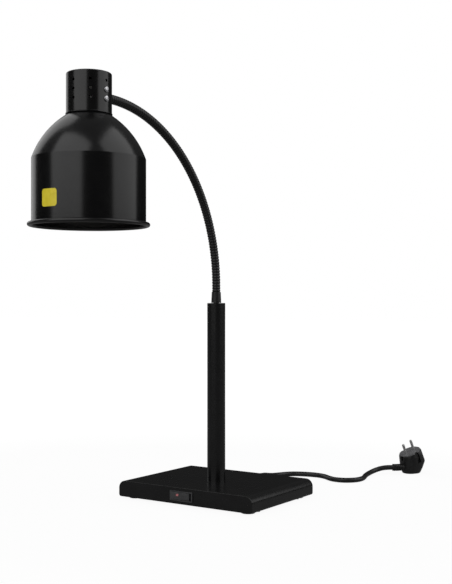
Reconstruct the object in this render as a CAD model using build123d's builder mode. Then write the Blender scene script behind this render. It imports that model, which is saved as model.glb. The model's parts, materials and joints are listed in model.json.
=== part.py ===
from build123d import *
import os
from math import atan2, cos, degrees, pi, radians, sin, sqrt, tan

# Food heat lamp: a low sheet-metal base with a rocker switch, an upright post, a ribbed neck that bends, and
# a spun shade with a vented cap over one heat bulb. Millimetres, Z up. The origin is on the floor, under the
# middle of the box round the lamp. The switch faces -Y, the shade hangs over -Y and the cord leaves at +Y.

# Fits
running_gap = 0.3
slip = 0.05
contact_gap = 0.1
hole_gap = 0.2

# Base
base_width = 262.0
base_depth = 189.0
base_height = 26.2
base_wall = 1.5
base_top_bend = 12.3
base_bottom_bend = 4.0
base_edge_round = 0.6
base_lip = 15.0
foot_radius = 11.0
foot_height = 2.3
foot_inset = 20.0
plate_wall = 1.0
plate_inset = 7.0
plate_screw_inset = 11.0
plate_screw_spacing = 120.0
bottom_screw_radius = 1.6
bottom_screw_head_radius = 3.2
bottom_screw_head = 1.8
bottom_screw_length = 8.0
ballast_width = 200.0
ballast_depth = 120.0
ballast_height = 8.0
ballast_screw_inset = 20.0

# Switch
switch_x = -2.0
switch_z = 16.6
bezel_width = 44.0
bezel_height = 16.0
bezel_depth = 1.8
bezel_corner = 1.5
switch_wall = 1.0
switch_skin = 0.7
switch_side_wall = 2.0
switch_body_depth = 20.0
switch_cavity_depth = 12.0
switch_panel_gap = 0.2
rocker_gap_x = 1.0
rocker_tilt = 7.0
rocker_pivot_depth = 3.5
rocker_end_front = 6.0
rocker_middle_front = 4.5
rocker_end_back = 3.0
rocker_web_half = 7.0
rocker_web_back = 3.5
rocker_pin_radius = 1.5
rocker_pin_length = 0.9
lens_x = -7.5
lens_z = 1.7
lens_width = 4.4
lens_height = 3.4
lens_front = 5.25
lens_back = 3.5
blade_width = 0.8
blade_height = 6.3
blade_length = 8.0
blade_offset = 7.0

# Wiring inside the base
wire_z = 16.4
wire_radius = 1.1
wire_bend = 3.0
core_offset = 2.4
terminal_pitch = 9.0
terminal_width = 30.0
terminal_depth = 16.0
terminal_height = 11.0
terminal_front = 14.0
terminal_screw_radius = 2.2
terminal_screw_depth = 3.0
tail_end = 42.0
clamp_width = 22.0
clamp_depth = 10.0
clamp_height = 13.0
clamp_y = 53.0

# Post
post_radius = 15.0
post_wall = 1.5
post_length = 294.2
post_chamfer = 0.8
top_plug_flange = 3.0
top_plug_spigot = 12.0
bottom_plug_length = 15.5
stud_radius = 5.0
stud_bore = 3.6
stud_drop = 3.5
post_nut_flange_radius = 12.0
post_nut_flange = 1.5
post_nut_height = 4.5
post_nut_radius = 9.2
lead_radius = 3.2
lead_bend = 8.0

# Neck
neck_crest_radius = 6.8
neck_groove_radius = 6.2
neck_bore = 3.5
neck_arc_radius = 267.0
neck_straight = 8.7
neck_end_straight = 15.9
segment_count = 15
segment_ribs = 6
pivot_gap = 0.4
ball_radius = 5.1
ball_gap = 0.15
tail_radius = 5.0
tail_nut_radius = 9.2
tail_nut_height = 6.4
tail_end_length = 2.0
sleeve_bottom_radius = 8.3
sleeve_top_radius = 7.55
sleeve_length = 18.3
stub_ribs = 2
end_ribs = 3
lock_nut_radius = 8.66
lock_nut_height = 4.0
lock_nut_standoff = 1.1

# Cap
cap_radius = 32.1
cap_wall = 1.0
cap_height = 58.0
cap_above_neck = 28.0
cap_top_round = 2.0
cap_bead = 0.8
cap_bead_round = 0.48
vent_radius = 2.15
vent_columns = 8
vent_row_count = 3
vent_row_drop = 13.3
vent_row_pitch = 12.7
cap_screw_radius = 2.0
cap_screw_head_radius = 4.35
cap_screw_crown_radius = 2.61
cap_screw_head = 2.6

# Shade
shade_radius = 80.0
shade_wall = 1.0
skirt_height = 91.8
dome_radius = 121.0
shoulder_height = 62.0
bead_radius = 3.0
bead_offset = 2.8
collar_radius = 30.8
collar_rise = 12.3
flange_hole_radius = 22.5
label_width = 26.5
label_height = 24.0
label_corner = 4.0
label_thickness = 0.2
label_rise = 31.4

# Lampholder
bracket_wall = 1.5
bracket_width = 14.0
bracket_half_span = 30.1
bracket_height = 36.5
bracket_foot_inner = 21.5
holder_radius = 20.0
holder_drop = 6.0
holder_cavity_radius = 14.4
holder_roof = 10.0
holder_screw_offset = 10.0
holder_screw_radius = 2.0
holder_screw_head_radius = 3.8
holder_screw_depth = 5.0
shade_screw_offset = 25.6
shade_screw_radius = 1.5
shade_screw_head_radius = 2.75
shade_nut_radius = 3.1
small_screw_head = 2.0
nut_height = 2.4
cap_nut_radius = 4.0
cap_nut_height = 3.2
contact_radius = 4.0
contact_height = 0.8
head_wire_x = 6.0
head_wire_drop = 7.0
head_wire_depth = 4.0
head_wire_y = 3.4
head_wire_bend = 1.65

# Bulb
bulb_radius = 62.5
bulb_glass_length = 150.0
bulb_wall = 1.0
bulb_crown_middle = 0.48
bulb_crown_middle_rise = 1.9
bulb_crown_edge = 0.9
bulb_crown_rise = 8.1
bulb_corner = 0.98
bulb_corner_rise = 12.5
bulb_widest_rise = 18.8
bulb_back_middle = 0.82
bulb_back_rise = 57.5
bulb_neck_radius = 19.0
bulb_neck_top = 35.0
bulb_neck_length = 13.0
bulb_collar_length = 7.0
bulb_collar_lip = 1.8
bulb_top_lip = 0.4
bulb_base_radius = 13.2
bulb_base_wall = 0.8
bulb_base_length = 24.0
bulb_tip_radius = 4.5
bulb_tip_end_radius = 3.6
bulb_tip_length = 3.0
screw_shell_wall = 0.8
screw_shell_rise = 1.0
stem_radius = 5.0
stem_length = 52.0
stem_flange = 3.0

# Cord and plug
cord_radius = 4.5
exit_z = 16.4
gland_length = 28.0
gland_flange_radius = 9.0
gland_flange = 3.0
gland_root_radius = 8.0
gland_tip_radius = 5.6
gland_spigot_radius = 6.5
gland_spigot_length = 9.0
gland_nut_radius = 9.6
gland_nut_height = 5.0
cord_rest_z = 4.6
relief_radius = 6.7
relief_length = 19.0
relief_turn = 34.0
relief_z = 12.6
plug_lean = 22.0
plug_face_z = 39.5
plug_face_s = 19.5
plug_waist_z = 20.0
plug_waist_s = 25.0
plug_foot_s = 22.5
plug_face_length = 41.0
plug_face_width = 40.0
plug_waist_length = 47.0
plug_waist_width = 42.0
plug_foot_length = 34.0
plug_foot_width = 28.0
plug_face_corner = 18.5
plug_foot_corner = 11.0
face_plate_height = 2.0
face_plate_inset = 0.8
pin_radius = 2.4
pin_spacing = 19.0
pin_length = 19.0
pin_seat = 8.0
pin_tip_share = 0.6
clip_width = 6.0
clip_thickness = 1.0
clip_length = 13.0
clip_seat = 3.0
guide_width = 3.0
guide_depth = 1.0
guide_length = 6.0

# Places that follow from the sizes
reach = neck_arc_radius + neck_end_straight + cap_radius
rim_radius = shade_radius + bead_offset + bead_radius
post_y = (reach + rim_radius - base_depth / 2) / 2
head_y = post_y - reach
base_front_y = post_y - base_depth / 2
base_back_y = post_y + base_depth / 2
plate_z = foot_height
base_z = plate_z + plate_wall
base_top_z = base_z + base_height
ballast_top_z = base_z + ballast_height
post_top_z = base_top_z + post_length
seat_z = post_top_z + running_gap
sleeve_top_z = post_top_z + sleeve_length
neck_start_z = sleeve_top_z + neck_straight
neck_arc_y = post_y - neck_arc_radius
neck_end_z = neck_start_z + neck_arc_radius
segment_angle = 90.0 / segment_count
gap_angle = degrees(pivot_gap / neck_arc_radius)
rib_angle = (segment_angle - 2 * gap_angle) / segment_ribs
rib_pitch = radians(rib_angle) * neck_arc_radius
head_height = neck_end_z + cap_above_neck
cap_bottom_z = head_height - cap_height
vent_rows = [head_height - vent_row_drop - row * vent_row_pitch for row in range(vent_row_count)]
cap_screw_rows = vent_rows[1:]
dome_top_height = cap_bottom_z - running_gap
shade_seam_height = dome_top_height - shoulder_height
shade_rim_height = shade_seam_height - skirt_height
label_z = shade_rim_height + label_rise
collar_top_height = cap_bottom_z + collar_rise
bracket_top_height = collar_top_height + bracket_height
holder_top_height = bracket_top_height - bracket_wall
holder_bottom_height = collar_top_height - holder_drop
holder_cavity_top = holder_top_height - holder_roof
bulb_tip_height = holder_cavity_top - contact_height - hole_gap
bulb_base_top = bulb_tip_height - bulb_tip_length
bulb_top_height = bulb_base_top - bulb_base_length
bulb_face_height = bulb_top_height - bulb_glass_length
bulb_neck_height = bulb_top_height - bulb_neck_top
screw_shell_bottom_height = bulb_top_height + screw_shell_rise
stem_bottom_height = bulb_top_height - stem_length
head_wire_z = holder_top_height - head_wire_drop
cap_inner_radius = cap_radius - cap_wall

head_axis = Axis((0, head_y, 0), (0, 0, 1))
neck_axis = Axis((0, neck_arc_y, neck_start_z), (1, 0, 0))
head_plane = Plane(origin=(0, head_y, 0), x_dir=(1, 0, 0), z_dir=(0, -1, 0))
back_plane = Plane(origin=(0, base_back_y, 0), x_dir=(1, 0, 0), z_dir=(0, -1, 0))
switch_plane = Plane(origin=(switch_x, base_front_y, switch_z), x_dir=(1, 0, 0), z_dir=(0, -1, 0))


def level(x, y, z):
    """A horizontal plane with its origin at a point."""
    return Plane(origin=(x, y, z))


def facing(x, y, z, direction):
    """A plane square to a horizontal direction, with its local x level."""
    side = (-direction[1], direction[0], 0)
    return Plane(origin=(x, y, z), x_dir=side, z_dir=direction)


def arc_plane(angle):
    """The plane square to the neck's centre line, so many degrees along its arc."""
    turn = radians(angle)
    centre = (0, neck_arc_y + neck_arc_radius * cos(turn), neck_start_z + neck_arc_radius * sin(turn))
    return Plane(origin=centre, x_dir=(1, 0, 0), z_dir=(0, -sin(turn), cos(turn)))


def rib_radii():
    """The four circles of one rib, as its share of the pitch and its radius."""
    return (
        (0.0, neck_groove_radius),
        (0.25, neck_crest_radius),
        (0.75, neck_crest_radius),
        (1.0, neck_groove_radius),
    )


# Base
with BuildPart() as base_shell:
    with BuildSketch(back_plane):
        with Locations((0, base_z + base_height / 2)):
            Rectangle(base_width, base_height)
        fillet(vertices().group_by(Axis.Y)[-1], radius=base_top_bend)
        fillet(vertices().group_by(Axis.Y)[0], radius=base_bottom_bend)
    extrude(amount=base_depth)
    end_faces = faces().filter_by(Axis.Y)
    fillet(end_faces.edges(), radius=base_edge_round)
    with BuildSketch(back_plane.offset(base_wall)):
        with Locations((0, base_z + base_height / 2)):
            Rectangle(base_width - 2 * base_wall, base_height - 2 * base_wall)
        fillet(vertices().group_by(Axis.Y)[-1], radius=base_top_bend - base_wall)
        fillet(vertices().group_by(Axis.Y)[0], radius=base_bottom_bend - base_wall)
    extrude(amount=base_depth - 2 * base_wall, mode=Mode.SUBTRACT)
    with BuildSketch(level(0, post_y, base_z)):
        Rectangle(base_width - 2 * base_lip, base_depth - 2 * base_lip)
        with GridLocations(base_width - 2 * plate_screw_inset, plate_screw_spacing, 2, 2):
            Circle(bottom_screw_radius + hole_gap)
    extrude(amount=base_wall, mode=Mode.SUBTRACT)
    with BuildSketch(level(0, post_y, base_top_z)):
        Circle(stud_radius + hole_gap)
    extrude(amount=-base_wall, mode=Mode.SUBTRACT)
    with BuildSketch(switch_plane):
        Rectangle(
            bezel_width - 2 * switch_wall + 2 * switch_panel_gap,
            bezel_height - 2 * switch_wall + 2 * switch_panel_gap,
        )
    extrude(amount=-base_wall, mode=Mode.SUBTRACT)
    with BuildSketch(back_plane):
        with Locations((0, exit_z)):
            Circle(gland_spigot_radius + hole_gap)
    extrude(amount=base_wall, mode=Mode.SUBTRACT)

with BuildPart() as bottom_plate:
    with BuildSketch(level(0, post_y, plate_z)):
        RectangleRounded(base_width - 2 * plate_inset, base_depth - 2 * plate_inset, base_bottom_bend)
        with GridLocations(base_width - 2 * plate_screw_inset, plate_screw_spacing, 2, 2):
            Circle(bottom_screw_radius + hole_gap, mode=Mode.SUBTRACT)
        with GridLocations(
            ballast_width - 2 * ballast_screw_inset, ballast_depth - 2 * ballast_screw_inset, 2, 2
        ):
            Circle(bottom_screw_radius + hole_gap, mode=Mode.SUBTRACT)
    extrude(amount=plate_wall)

with BuildPart() as ballast_plate:
    with BuildSketch(level(0, post_y, base_z)):
        RectangleRounded(ballast_width, ballast_depth, base_bottom_bend)
        with GridLocations(
            ballast_width - 2 * ballast_screw_inset, ballast_depth - 2 * ballast_screw_inset, 2, 2
        ):
            Circle(bottom_screw_radius + slip, mode=Mode.SUBTRACT)
    extrude(amount=ballast_height)

with BuildPart() as bottom_screws:
    with BuildSketch(level(0, post_y, plate_z - bottom_screw_head)):
        with GridLocations(base_width - 2 * plate_screw_inset, plate_screw_spacing, 2, 2):
            Circle(bottom_screw_head_radius)
        with GridLocations(
            ballast_width - 2 * ballast_screw_inset, ballast_depth - 2 * ballast_screw_inset, 2, 2
        ):
            Circle(bottom_screw_head_radius)
    extrude(amount=bottom_screw_head)
    with BuildSketch(level(0, post_y, plate_z)):
        with GridLocations(base_width - 2 * plate_screw_inset, plate_screw_spacing, 2, 2):
            Circle(bottom_screw_radius)
        with GridLocations(
            ballast_width - 2 * ballast_screw_inset, ballast_depth - 2 * ballast_screw_inset, 2, 2
        ):
            Circle(bottom_screw_radius)
    extrude(amount=bottom_screw_length)

with BuildPart() as rubber_feet:
    with BuildSketch(level(0, post_y, 0)):
        with GridLocations(base_width - 2 * foot_inset, base_depth - 2 * foot_inset, 2, 2):
            Circle(foot_radius)
    extrude(amount=foot_height)
    chamfer(edges().filter_by(GeomType.CIRCLE).group_by(Axis.Z)[0], length=foot_height / 4)

# Switch: the housing is clipped into the front wall, and the rocker tips on pins in its top and bottom walls
cavity_width = bezel_width - 2 * switch_side_wall
cavity_height = bezel_height - 2 * switch_wall - 2 * switch_skin
rocker_height = cavity_height - 2 * running_gap
rocker_half = cavity_width / 2 - rocker_gap_x
pivot_y = base_front_y + rocker_pivot_depth
rocker_plane = Plane(
    origin=(switch_x, pivot_y, switch_z - rocker_height / 2),
    x_dir=(cos(radians(rocker_tilt)), sin(radians(rocker_tilt)), 0),
    z_dir=(0, 0, 1),
)
lens_plane = rocker_plane.offset(rocker_height / 2 + lens_z - lens_height / 2)

with BuildPart() as switch_housing:
    with BuildSketch(switch_plane):
        RectangleRounded(bezel_width, bezel_height, bezel_corner)
    extrude(amount=bezel_depth)
    with BuildSketch(switch_plane):
        Rectangle(bezel_width - 2 * switch_wall, bezel_height - 2 * switch_wall)
    extrude(amount=-switch_body_depth)
    with BuildSketch(switch_plane.offset(bezel_depth)):
        Rectangle(cavity_width, cavity_height)
    extrude(amount=-bezel_depth - switch_cavity_depth, mode=Mode.SUBTRACT)
    with BuildSketch(level(switch_x, pivot_y, switch_z - cavity_height / 2 - switch_wall)):
        Circle(rocker_pin_radius + slip)
    extrude(amount=cavity_height + 2 * switch_wall, mode=Mode.SUBTRACT)

with BuildPart() as switch_rocker:
    with BuildSketch(rocker_plane):
        with BuildLine():
            Polyline(
                (-rocker_half, -rocker_end_front),
                (0, -rocker_middle_front),
                (rocker_half, -rocker_end_front),
                (rocker_half, -rocker_end_back),
                (rocker_web_half, rocker_web_back),
                (-rocker_web_half, rocker_web_back),
                (-rocker_half, -rocker_end_back),
                close=True,
            )
        make_face()
    extrude(amount=rocker_height)
    with BuildSketch(rocker_plane.offset(-rocker_pin_length)):
        Circle(rocker_pin_radius)
    extrude(amount=rocker_height + 2 * rocker_pin_length)
    with BuildSketch(lens_plane):
        with Locations((lens_x, -(rocker_end_front + lens_back) / 2)):
            Rectangle(lens_width, rocker_end_front - lens_back)
    extrude(amount=lens_height, mode=Mode.SUBTRACT)

with BuildPart() as switch_lens:
    with BuildSketch(lens_plane):
        with Locations((lens_x, -(lens_front + lens_back) / 2)):
            Rectangle(lens_width, lens_front - lens_back)
    extrude(amount=lens_height)

with BuildPart() as switch_terminals:
    with BuildSketch(switch_plane.offset(-switch_body_depth)):
        with GridLocations(2 * blade_offset, 0, 2, 1):
            Rectangle(blade_width, blade_height)
    extrude(amount=-blade_length)

# Wiring in the base
with BuildPart() as terminal_block:
    with BuildSketch(level(0, post_y + terminal_front + terminal_depth / 2, ballast_top_z)):
        Rectangle(terminal_width, terminal_depth)
    extrude(amount=terminal_height)
    with BuildSketch(level(0, post_y + terminal_front + terminal_depth / 2, ballast_top_z + terminal_height)):
        with GridLocations(terminal_pitch, terminal_depth / 2, 3, 2):
            Circle(terminal_screw_radius)
    extrude(amount=-terminal_screw_depth, mode=Mode.SUBTRACT)

block_back_y = post_y + terminal_front + terminal_depth
block_front_y = post_y + terminal_front
tail_y = post_y + tail_end
blade_end_y = base_front_y + switch_body_depth + blade_length
jog_y = (block_front_y + blade_end_y) / 2
jog_x = switch_x + blade_offset

with BuildPart() as base_wires:
    for side in (-1, 1):
        with BuildLine() as core_line:
            FilletPolyline(
                (side * core_offset, tail_y, wire_z),
                (side * core_offset, tail_y - wire_bend, wire_z),
                (side * terminal_pitch, block_back_y + wire_bend, wire_z),
                (side * terminal_pitch, block_back_y, wire_z),
                radius=wire_bend / 2,
            )
        with BuildSketch(facing(side * core_offset, tail_y, wire_z, (0, -1, 0))):
            Circle(wire_radius)
        sweep(path=core_line.line)
    with BuildSketch(facing(0, tail_y, wire_z, (0, -1, 0))):
        Circle(wire_radius)
    extrude(amount=tail_y - block_back_y)
    with BuildSketch(facing(switch_x - blade_offset, block_front_y, wire_z, (0, -1, 0))):
        Circle(wire_radius)
    extrude(amount=block_front_y - blade_end_y)
    with BuildLine() as jog_line:
        FilletPolyline(
            (terminal_pitch, block_front_y, wire_z),
            (terminal_pitch, jog_y, wire_z),
            (jog_x, jog_y - 4 * wire_bend, wire_z),
            (jog_x, blade_end_y, wire_z),
            radius=wire_bend,
        )
    with BuildSketch(facing(terminal_pitch, block_front_y, wire_z, (0, -1, 0))):
        Circle(wire_radius)
    sweep(path=jog_line.line)

exit_y = base_back_y + gland_length

with BuildPart() as cord_tail:
    with BuildSketch(facing(0, exit_y, exit_z, (0, -1, 0))):
        Circle(cord_radius - contact_gap)
    extrude(amount=exit_y - tail_y)

with BuildPart() as cord_clamp:
    with BuildSketch(facing(0, post_y + clamp_y + clamp_depth / 2, 0, (0, -1, 0))):
        with Locations((0, ballast_top_z + clamp_height / 2)):
            Rectangle(clamp_width, clamp_height)
        with Locations((0, exit_z)):
            Circle(cord_radius - contact_gap / 2, mode=Mode.SUBTRACT)
    extrude(amount=clamp_depth)

with BuildPart() as mains_gland:
    with BuildSketch(back_plane.offset(-gland_flange)):
        with Locations((0, exit_z)):
            Circle(gland_flange_radius)
    extrude(amount=gland_flange)
    with BuildSketch(back_plane.offset(-gland_flange)):
        with Locations((0, exit_z)):
            Circle(gland_root_radius)
    with BuildSketch(back_plane.offset(-gland_length)):
        with Locations((0, exit_z)):
            Circle(gland_tip_radius)
    loft(ruled=True)
    with BuildSketch(back_plane):
        with Locations((0, exit_z)):
            Circle(gland_spigot_radius)
    extrude(amount=base_wall + gland_spigot_length)
    with BuildSketch(back_plane.offset(-gland_length)):
        with Locations((0, exit_z)):
            Circle(cord_radius)
    extrude(amount=gland_length + base_wall + gland_spigot_length, mode=Mode.SUBTRACT)

with BuildPart() as gland_nut:
    with BuildSketch(back_plane.offset(base_wall)):
        with Locations((0, exit_z)):
            RegularPolygon(radius=gland_nut_radius, side_count=6)
            Circle(gland_spigot_radius + slip, mode=Mode.SUBTRACT)
    extrude(amount=gland_nut_height)

# Post
tube_top_z = post_top_z - top_plug_flange
plug_radius = post_radius - post_wall - contact_gap
tail_bottom_z = tube_top_z - top_plug_spigot - running_gap - tail_nut_height - tail_end_length

with BuildPart() as post_tube:
    with BuildSketch(level(0, post_y, base_top_z)):
        Circle(post_radius)
        Circle(post_radius - post_wall, mode=Mode.SUBTRACT)
    extrude(amount=tube_top_z - base_top_z)

with BuildPart() as post_top_plug:
    with BuildSketch(level(0, post_y, tube_top_z)):
        Circle(post_radius)
    extrude(amount=top_plug_flange)
    chamfer(edges().group_by(Axis.Z)[-1], length=post_chamfer)
    with BuildSketch(level(0, post_y, tube_top_z)):
        Circle(plug_radius)
    extrude(amount=-top_plug_spigot)
    with BuildSketch(level(0, post_y, post_top_z)):
        Circle(tail_radius + slip)
    extrude(amount=-top_plug_flange - top_plug_spigot, mode=Mode.SUBTRACT)

with BuildPart() as post_bottom_plug:
    with BuildSketch(level(0, post_y, base_top_z)):
        Circle(plug_radius)
        Circle(stud_radius + slip, mode=Mode.SUBTRACT)
    extrude(amount=bottom_plug_length)

with BuildPart() as post_stud:
    with BuildSketch(level(0, post_y, base_top_z - base_wall - stud_drop)):
        Circle(stud_radius)
        Circle(stud_bore, mode=Mode.SUBTRACT)
    extrude(amount=stud_drop + base_wall + bottom_plug_length)

with BuildPart() as post_nut:
    with BuildSketch(level(0, post_y, base_top_z - base_wall)):
        Circle(post_nut_flange_radius)
    extrude(amount=-post_nut_flange)
    with BuildSketch(level(0, post_y, base_top_z - base_wall - post_nut_flange)):
        RegularPolygon(radius=post_nut_radius, side_count=6)
    extrude(amount=post_nut_flange - post_nut_height)
    with BuildSketch(level(0, post_y, base_top_z)):
        Circle(stud_radius + slip)
    extrude(amount=-base_wall - post_nut_height, mode=Mode.SUBTRACT)

with BuildPart() as post_lead:
    with BuildLine() as lead_line:
        FilletPolyline(
            (0, block_front_y, wire_z),
            (0, post_y, wire_z),
            (0, post_y, tail_bottom_z - running_gap),
            radius=lead_bend,
        )
    with BuildSketch(facing(0, block_front_y, wire_z, (0, -1, 0))):
        Circle(lead_radius)
    sweep(path=lead_line.line)

# Neck: a stub that turns in the post, short ribbed knuckles on balls, and an end fitting in the cap
with BuildPart() as neck_stub:
    with BuildSketch(level(0, post_y, tail_bottom_z)):
        Circle(tail_radius)
    extrude(amount=seat_z - tail_bottom_z)
    with BuildSketch(level(0, post_y, seat_z)):
        Circle(neck_groove_radius)
    extrude(amount=sleeve_top_z - seat_z)
    stub_pitch = (neck_straight - pivot_gap) / stub_ribs
    for rib in range(stub_ribs):
        for share, radius in rib_radii():
            with BuildSketch(level(0, post_y, sleeve_top_z + (rib + share) * stub_pitch)):
                Circle(radius)
        loft(ruled=True)
    with BuildSketch(level(0, post_y, tail_bottom_z)):
        Circle(neck_bore)
    extrude(amount=neck_start_z - tail_bottom_z, mode=Mode.SUBTRACT)
    with Locations((0, post_y, neck_start_z)):
        Sphere(ball_radius + ball_gap, mode=Mode.SUBTRACT)

with BuildPart() as neck_tail_nut:
    with BuildSketch(level(0, post_y, tail_bottom_z + tail_end_length)):
        RegularPolygon(radius=tail_nut_radius, side_count=6)
        Circle(tail_radius + slip, mode=Mode.SUBTRACT)
    extrude(amount=tail_nut_height)

with BuildPart() as neck_sleeve:
    with BuildSketch(level(0, post_y, seat_z)):
        Circle(sleeve_bottom_radius)
    with BuildSketch(level(0, post_y, sleeve_top_z)):
        Circle(sleeve_top_radius)
    loft(ruled=True)
    with BuildSketch(level(0, post_y, seat_z)):
        Circle(neck_groove_radius + slip)
    extrude(amount=sleeve_top_z - seat_z, mode=Mode.SUBTRACT)

with BuildPart() as first_segment:
    for rib in range(segment_ribs):
        for share, radius in rib_radii():
            with BuildSketch(arc_plane(gap_angle + (rib + share) * rib_angle)):
                Circle(radius)
        loft(ruled=True)
    with Locations(arc_plane(0).origin):
        Sphere(ball_radius)
    bore_lead = degrees((ball_radius + ball_gap) / neck_arc_radius)
    with BuildSketch(arc_plane(-bore_lead)):
        Circle(neck_bore)
    revolve(axis=neck_axis, revolution_arc=segment_angle + 2 * bore_lead, mode=Mode.SUBTRACT)
    with Locations(arc_plane(segment_angle).origin):
        Sphere(ball_radius + ball_gap, mode=Mode.SUBTRACT)

cap_back_y = head_y + cap_radius


def along_end(distance):
    """The plane square to the neck's straight end, so far past its last pivot."""
    return Plane(origin=(0, neck_arc_y - distance, neck_end_z), x_dir=(1, 0, 0), z_dir=(0, -1, 0))


with BuildPart() as neck_end_fitting:
    for rib in range(end_ribs):
        for share, radius in rib_radii():
            with BuildSketch(along_end(pivot_gap + (rib + share) * rib_pitch)):
                Circle(radius)
        loft(ruled=True)
    with BuildSketch(along_end(pivot_gap + end_ribs * rib_pitch)):
        Circle(neck_crest_radius)
    extrude(amount=neck_end_straight - end_ribs * rib_pitch + cap_wall)
    with BuildSketch(level(0, head_y, neck_end_z - cap_height / 2)):
        Circle(cap_radius)
    extrude(amount=cap_height, mode=Mode.SUBTRACT)
    with BuildSketch(along_end(neck_end_straight - cap_wall)):
        Circle(tail_radius)
    extrude(amount=3 * cap_wall + lock_nut_standoff + lock_nut_height)
    with Locations(arc_plane(90).origin):
        Sphere(ball_radius)
    with BuildSketch(along_end(-ball_radius - ball_gap)):
        Circle(neck_bore)
    extrude(amount=neck_end_straight + cap_height, mode=Mode.SUBTRACT)

with BuildPart() as neck_lock_nut:
    with BuildSketch(along_end(neck_end_straight + cap_wall + lock_nut_standoff)):
        RegularPolygon(radius=lock_nut_radius, side_count=6, rotation=30)
        Circle(tail_radius + slip, mode=Mode.SUBTRACT)
    extrude(amount=lock_nut_height)

# Cap
with BuildPart() as cap:
    with BuildSketch(level(0, head_y, cap_bottom_z)):
        Circle(cap_radius)
    extrude(amount=cap_height)
    fillet(edges().group_by(Axis.Z)[-1], radius=cap_top_round)
    with BuildSketch(level(0, head_y, cap_bottom_z)):
        Circle(cap_radius + cap_bead)
    extrude(amount=2 * cap_bead)
    fillet(edges().filter_by(GeomType.CIRCLE).sort_by(SortBy.RADIUS)[-2:], radius=cap_bead_round)
    with BuildSketch(level(0, head_y, cap_bottom_z)):
        Circle(cap_inner_radius)
    extrude(amount=cap_height - cap_wall, mode=Mode.SUBTRACT)
    for column in range(vent_columns):
        bearing = 2 * pi * column / vent_columns
        outward = (cos(bearing), sin(bearing), 0)
        near = cos(pi / vent_columns)
        if outward[1] > near:
            continue
        for row in vent_rows:
            if abs(outward[0]) > near and row in cap_screw_rows:
                continue
            with BuildSketch(facing(0, head_y, row, outward)):
                Circle(vent_radius)
            extrude(amount=cap_radius + cap_bead, mode=Mode.SUBTRACT)
    for side in (-1, 1):
        for row in cap_screw_rows:
            with BuildSketch(facing(0, head_y, row, (side, 0, 0))):
                Circle(cap_screw_radius + hole_gap)
            extrude(amount=cap_radius + cap_bead, mode=Mode.SUBTRACT)
    with BuildSketch(along_end(neck_end_straight - cap_wall)):
        Circle(tail_radius + contact_gap)
    extrude(amount=3 * cap_wall, mode=Mode.SUBTRACT)

with BuildPart() as cap_screws:
    for side in (-1, 1):
        for row in cap_screw_rows:
            screw_plane = facing(0, head_y, row, (side, 0, 0))
            with BuildSketch(screw_plane.offset(cap_radius)):
                Circle(cap_screw_head_radius)
            with BuildSketch(screw_plane.offset(cap_radius + cap_screw_head)):
                Circle(cap_screw_crown_radius)
            loft(ruled=True)
            with BuildSketch(screw_plane.offset(bracket_half_span - bracket_wall - cap_nut_height)):
                Circle(cap_screw_radius)
            extrude(amount=cap_radius - bracket_half_span + bracket_wall + cap_nut_height)

# Shade: a straight skirt, a domed shoulder and a collar that goes up inside the cap
chord_r = (shade_radius + collar_radius) / 2
chord_z = (shade_seam_height + dome_top_height) / 2
chord_half = sqrt((shade_radius - collar_radius) ** 2 + (dome_top_height - shade_seam_height) ** 2) / 2
chord_rise = atan2(shade_radius - collar_radius, dome_top_height - shade_seam_height)
centre_drop = sqrt(dome_radius**2 - chord_half**2)
dome_centre_r = chord_r - centre_drop * cos(chord_rise)
dome_centre_z = chord_z - centre_drop * sin(chord_rise)


def dome_height(radius, inset):
    """Height of the domed shoulder at a radius, so far inside its outer face."""
    return dome_centre_z + sqrt((dome_radius - inset) ** 2 - (radius - dome_centre_r) ** 2)


def shade_outline(inset, bottom, top):
    """Half section of the shade's filled shape, taken in by the inset."""
    skirt = shade_radius - inset
    neck = collar_radius - inset
    middle = (skirt + neck) / 2
    with BuildLine() as outline:
        Polyline((0, top), (0, bottom), (skirt, bottom), (skirt, dome_height(skirt, inset)))
        ThreePointArc(
            (skirt, dome_height(skirt, inset)),
            (middle, dome_height(middle, inset)),
            (neck, dome_height(neck, inset)),
        )
        Polyline((neck, dome_height(neck, inset)), (neck, top), (0, top))
    return outline.line


with BuildPart() as shade:
    with BuildSketch(head_plane):
        with BuildLine():
            add(shade_outline(0, shade_rim_height, collar_top_height))
        make_face()
    revolve(axis=head_axis)
    with BuildSketch(head_plane):
        with Locations((shade_radius + bead_offset, shade_rim_height)):
            Circle(bead_radius)
    revolve(axis=head_axis)
    with BuildSketch(head_plane):
        with BuildLine():
            add(
                shade_outline(
                    shade_wall, shade_rim_height - 2 * bead_radius, collar_top_height - shade_wall
                )
            )
        make_face()
    revolve(axis=head_axis, mode=Mode.SUBTRACT)
    with BuildSketch(level(0, head_y, collar_top_height)):
        Circle(flange_hole_radius)
        with GridLocations(2 * shade_screw_offset, 0, 2, 1):
            Circle(shade_screw_radius + hole_gap / 2)
    extrude(amount=-shade_wall, mode=Mode.SUBTRACT)

with BuildPart() as blank_label:
    with BuildSketch(level(0, head_y, label_z - label_height / 2)):
        Circle(shade_radius + label_thickness)
        Circle(shade_radius, mode=Mode.SUBTRACT)
    extrude(amount=label_height)
    with BuildSketch(head_plane):
        with Locations((0, label_z)):
            RectangleRounded(label_width, label_height, label_corner)
    extrude(amount=shade_radius + 2 * label_thickness, mode=Mode.INTERSECT)

# Lampholder
leg_outer = bracket_half_span
leg_inner = bracket_half_span - bracket_wall
web_z = bracket_top_height - bracket_wall

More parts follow.
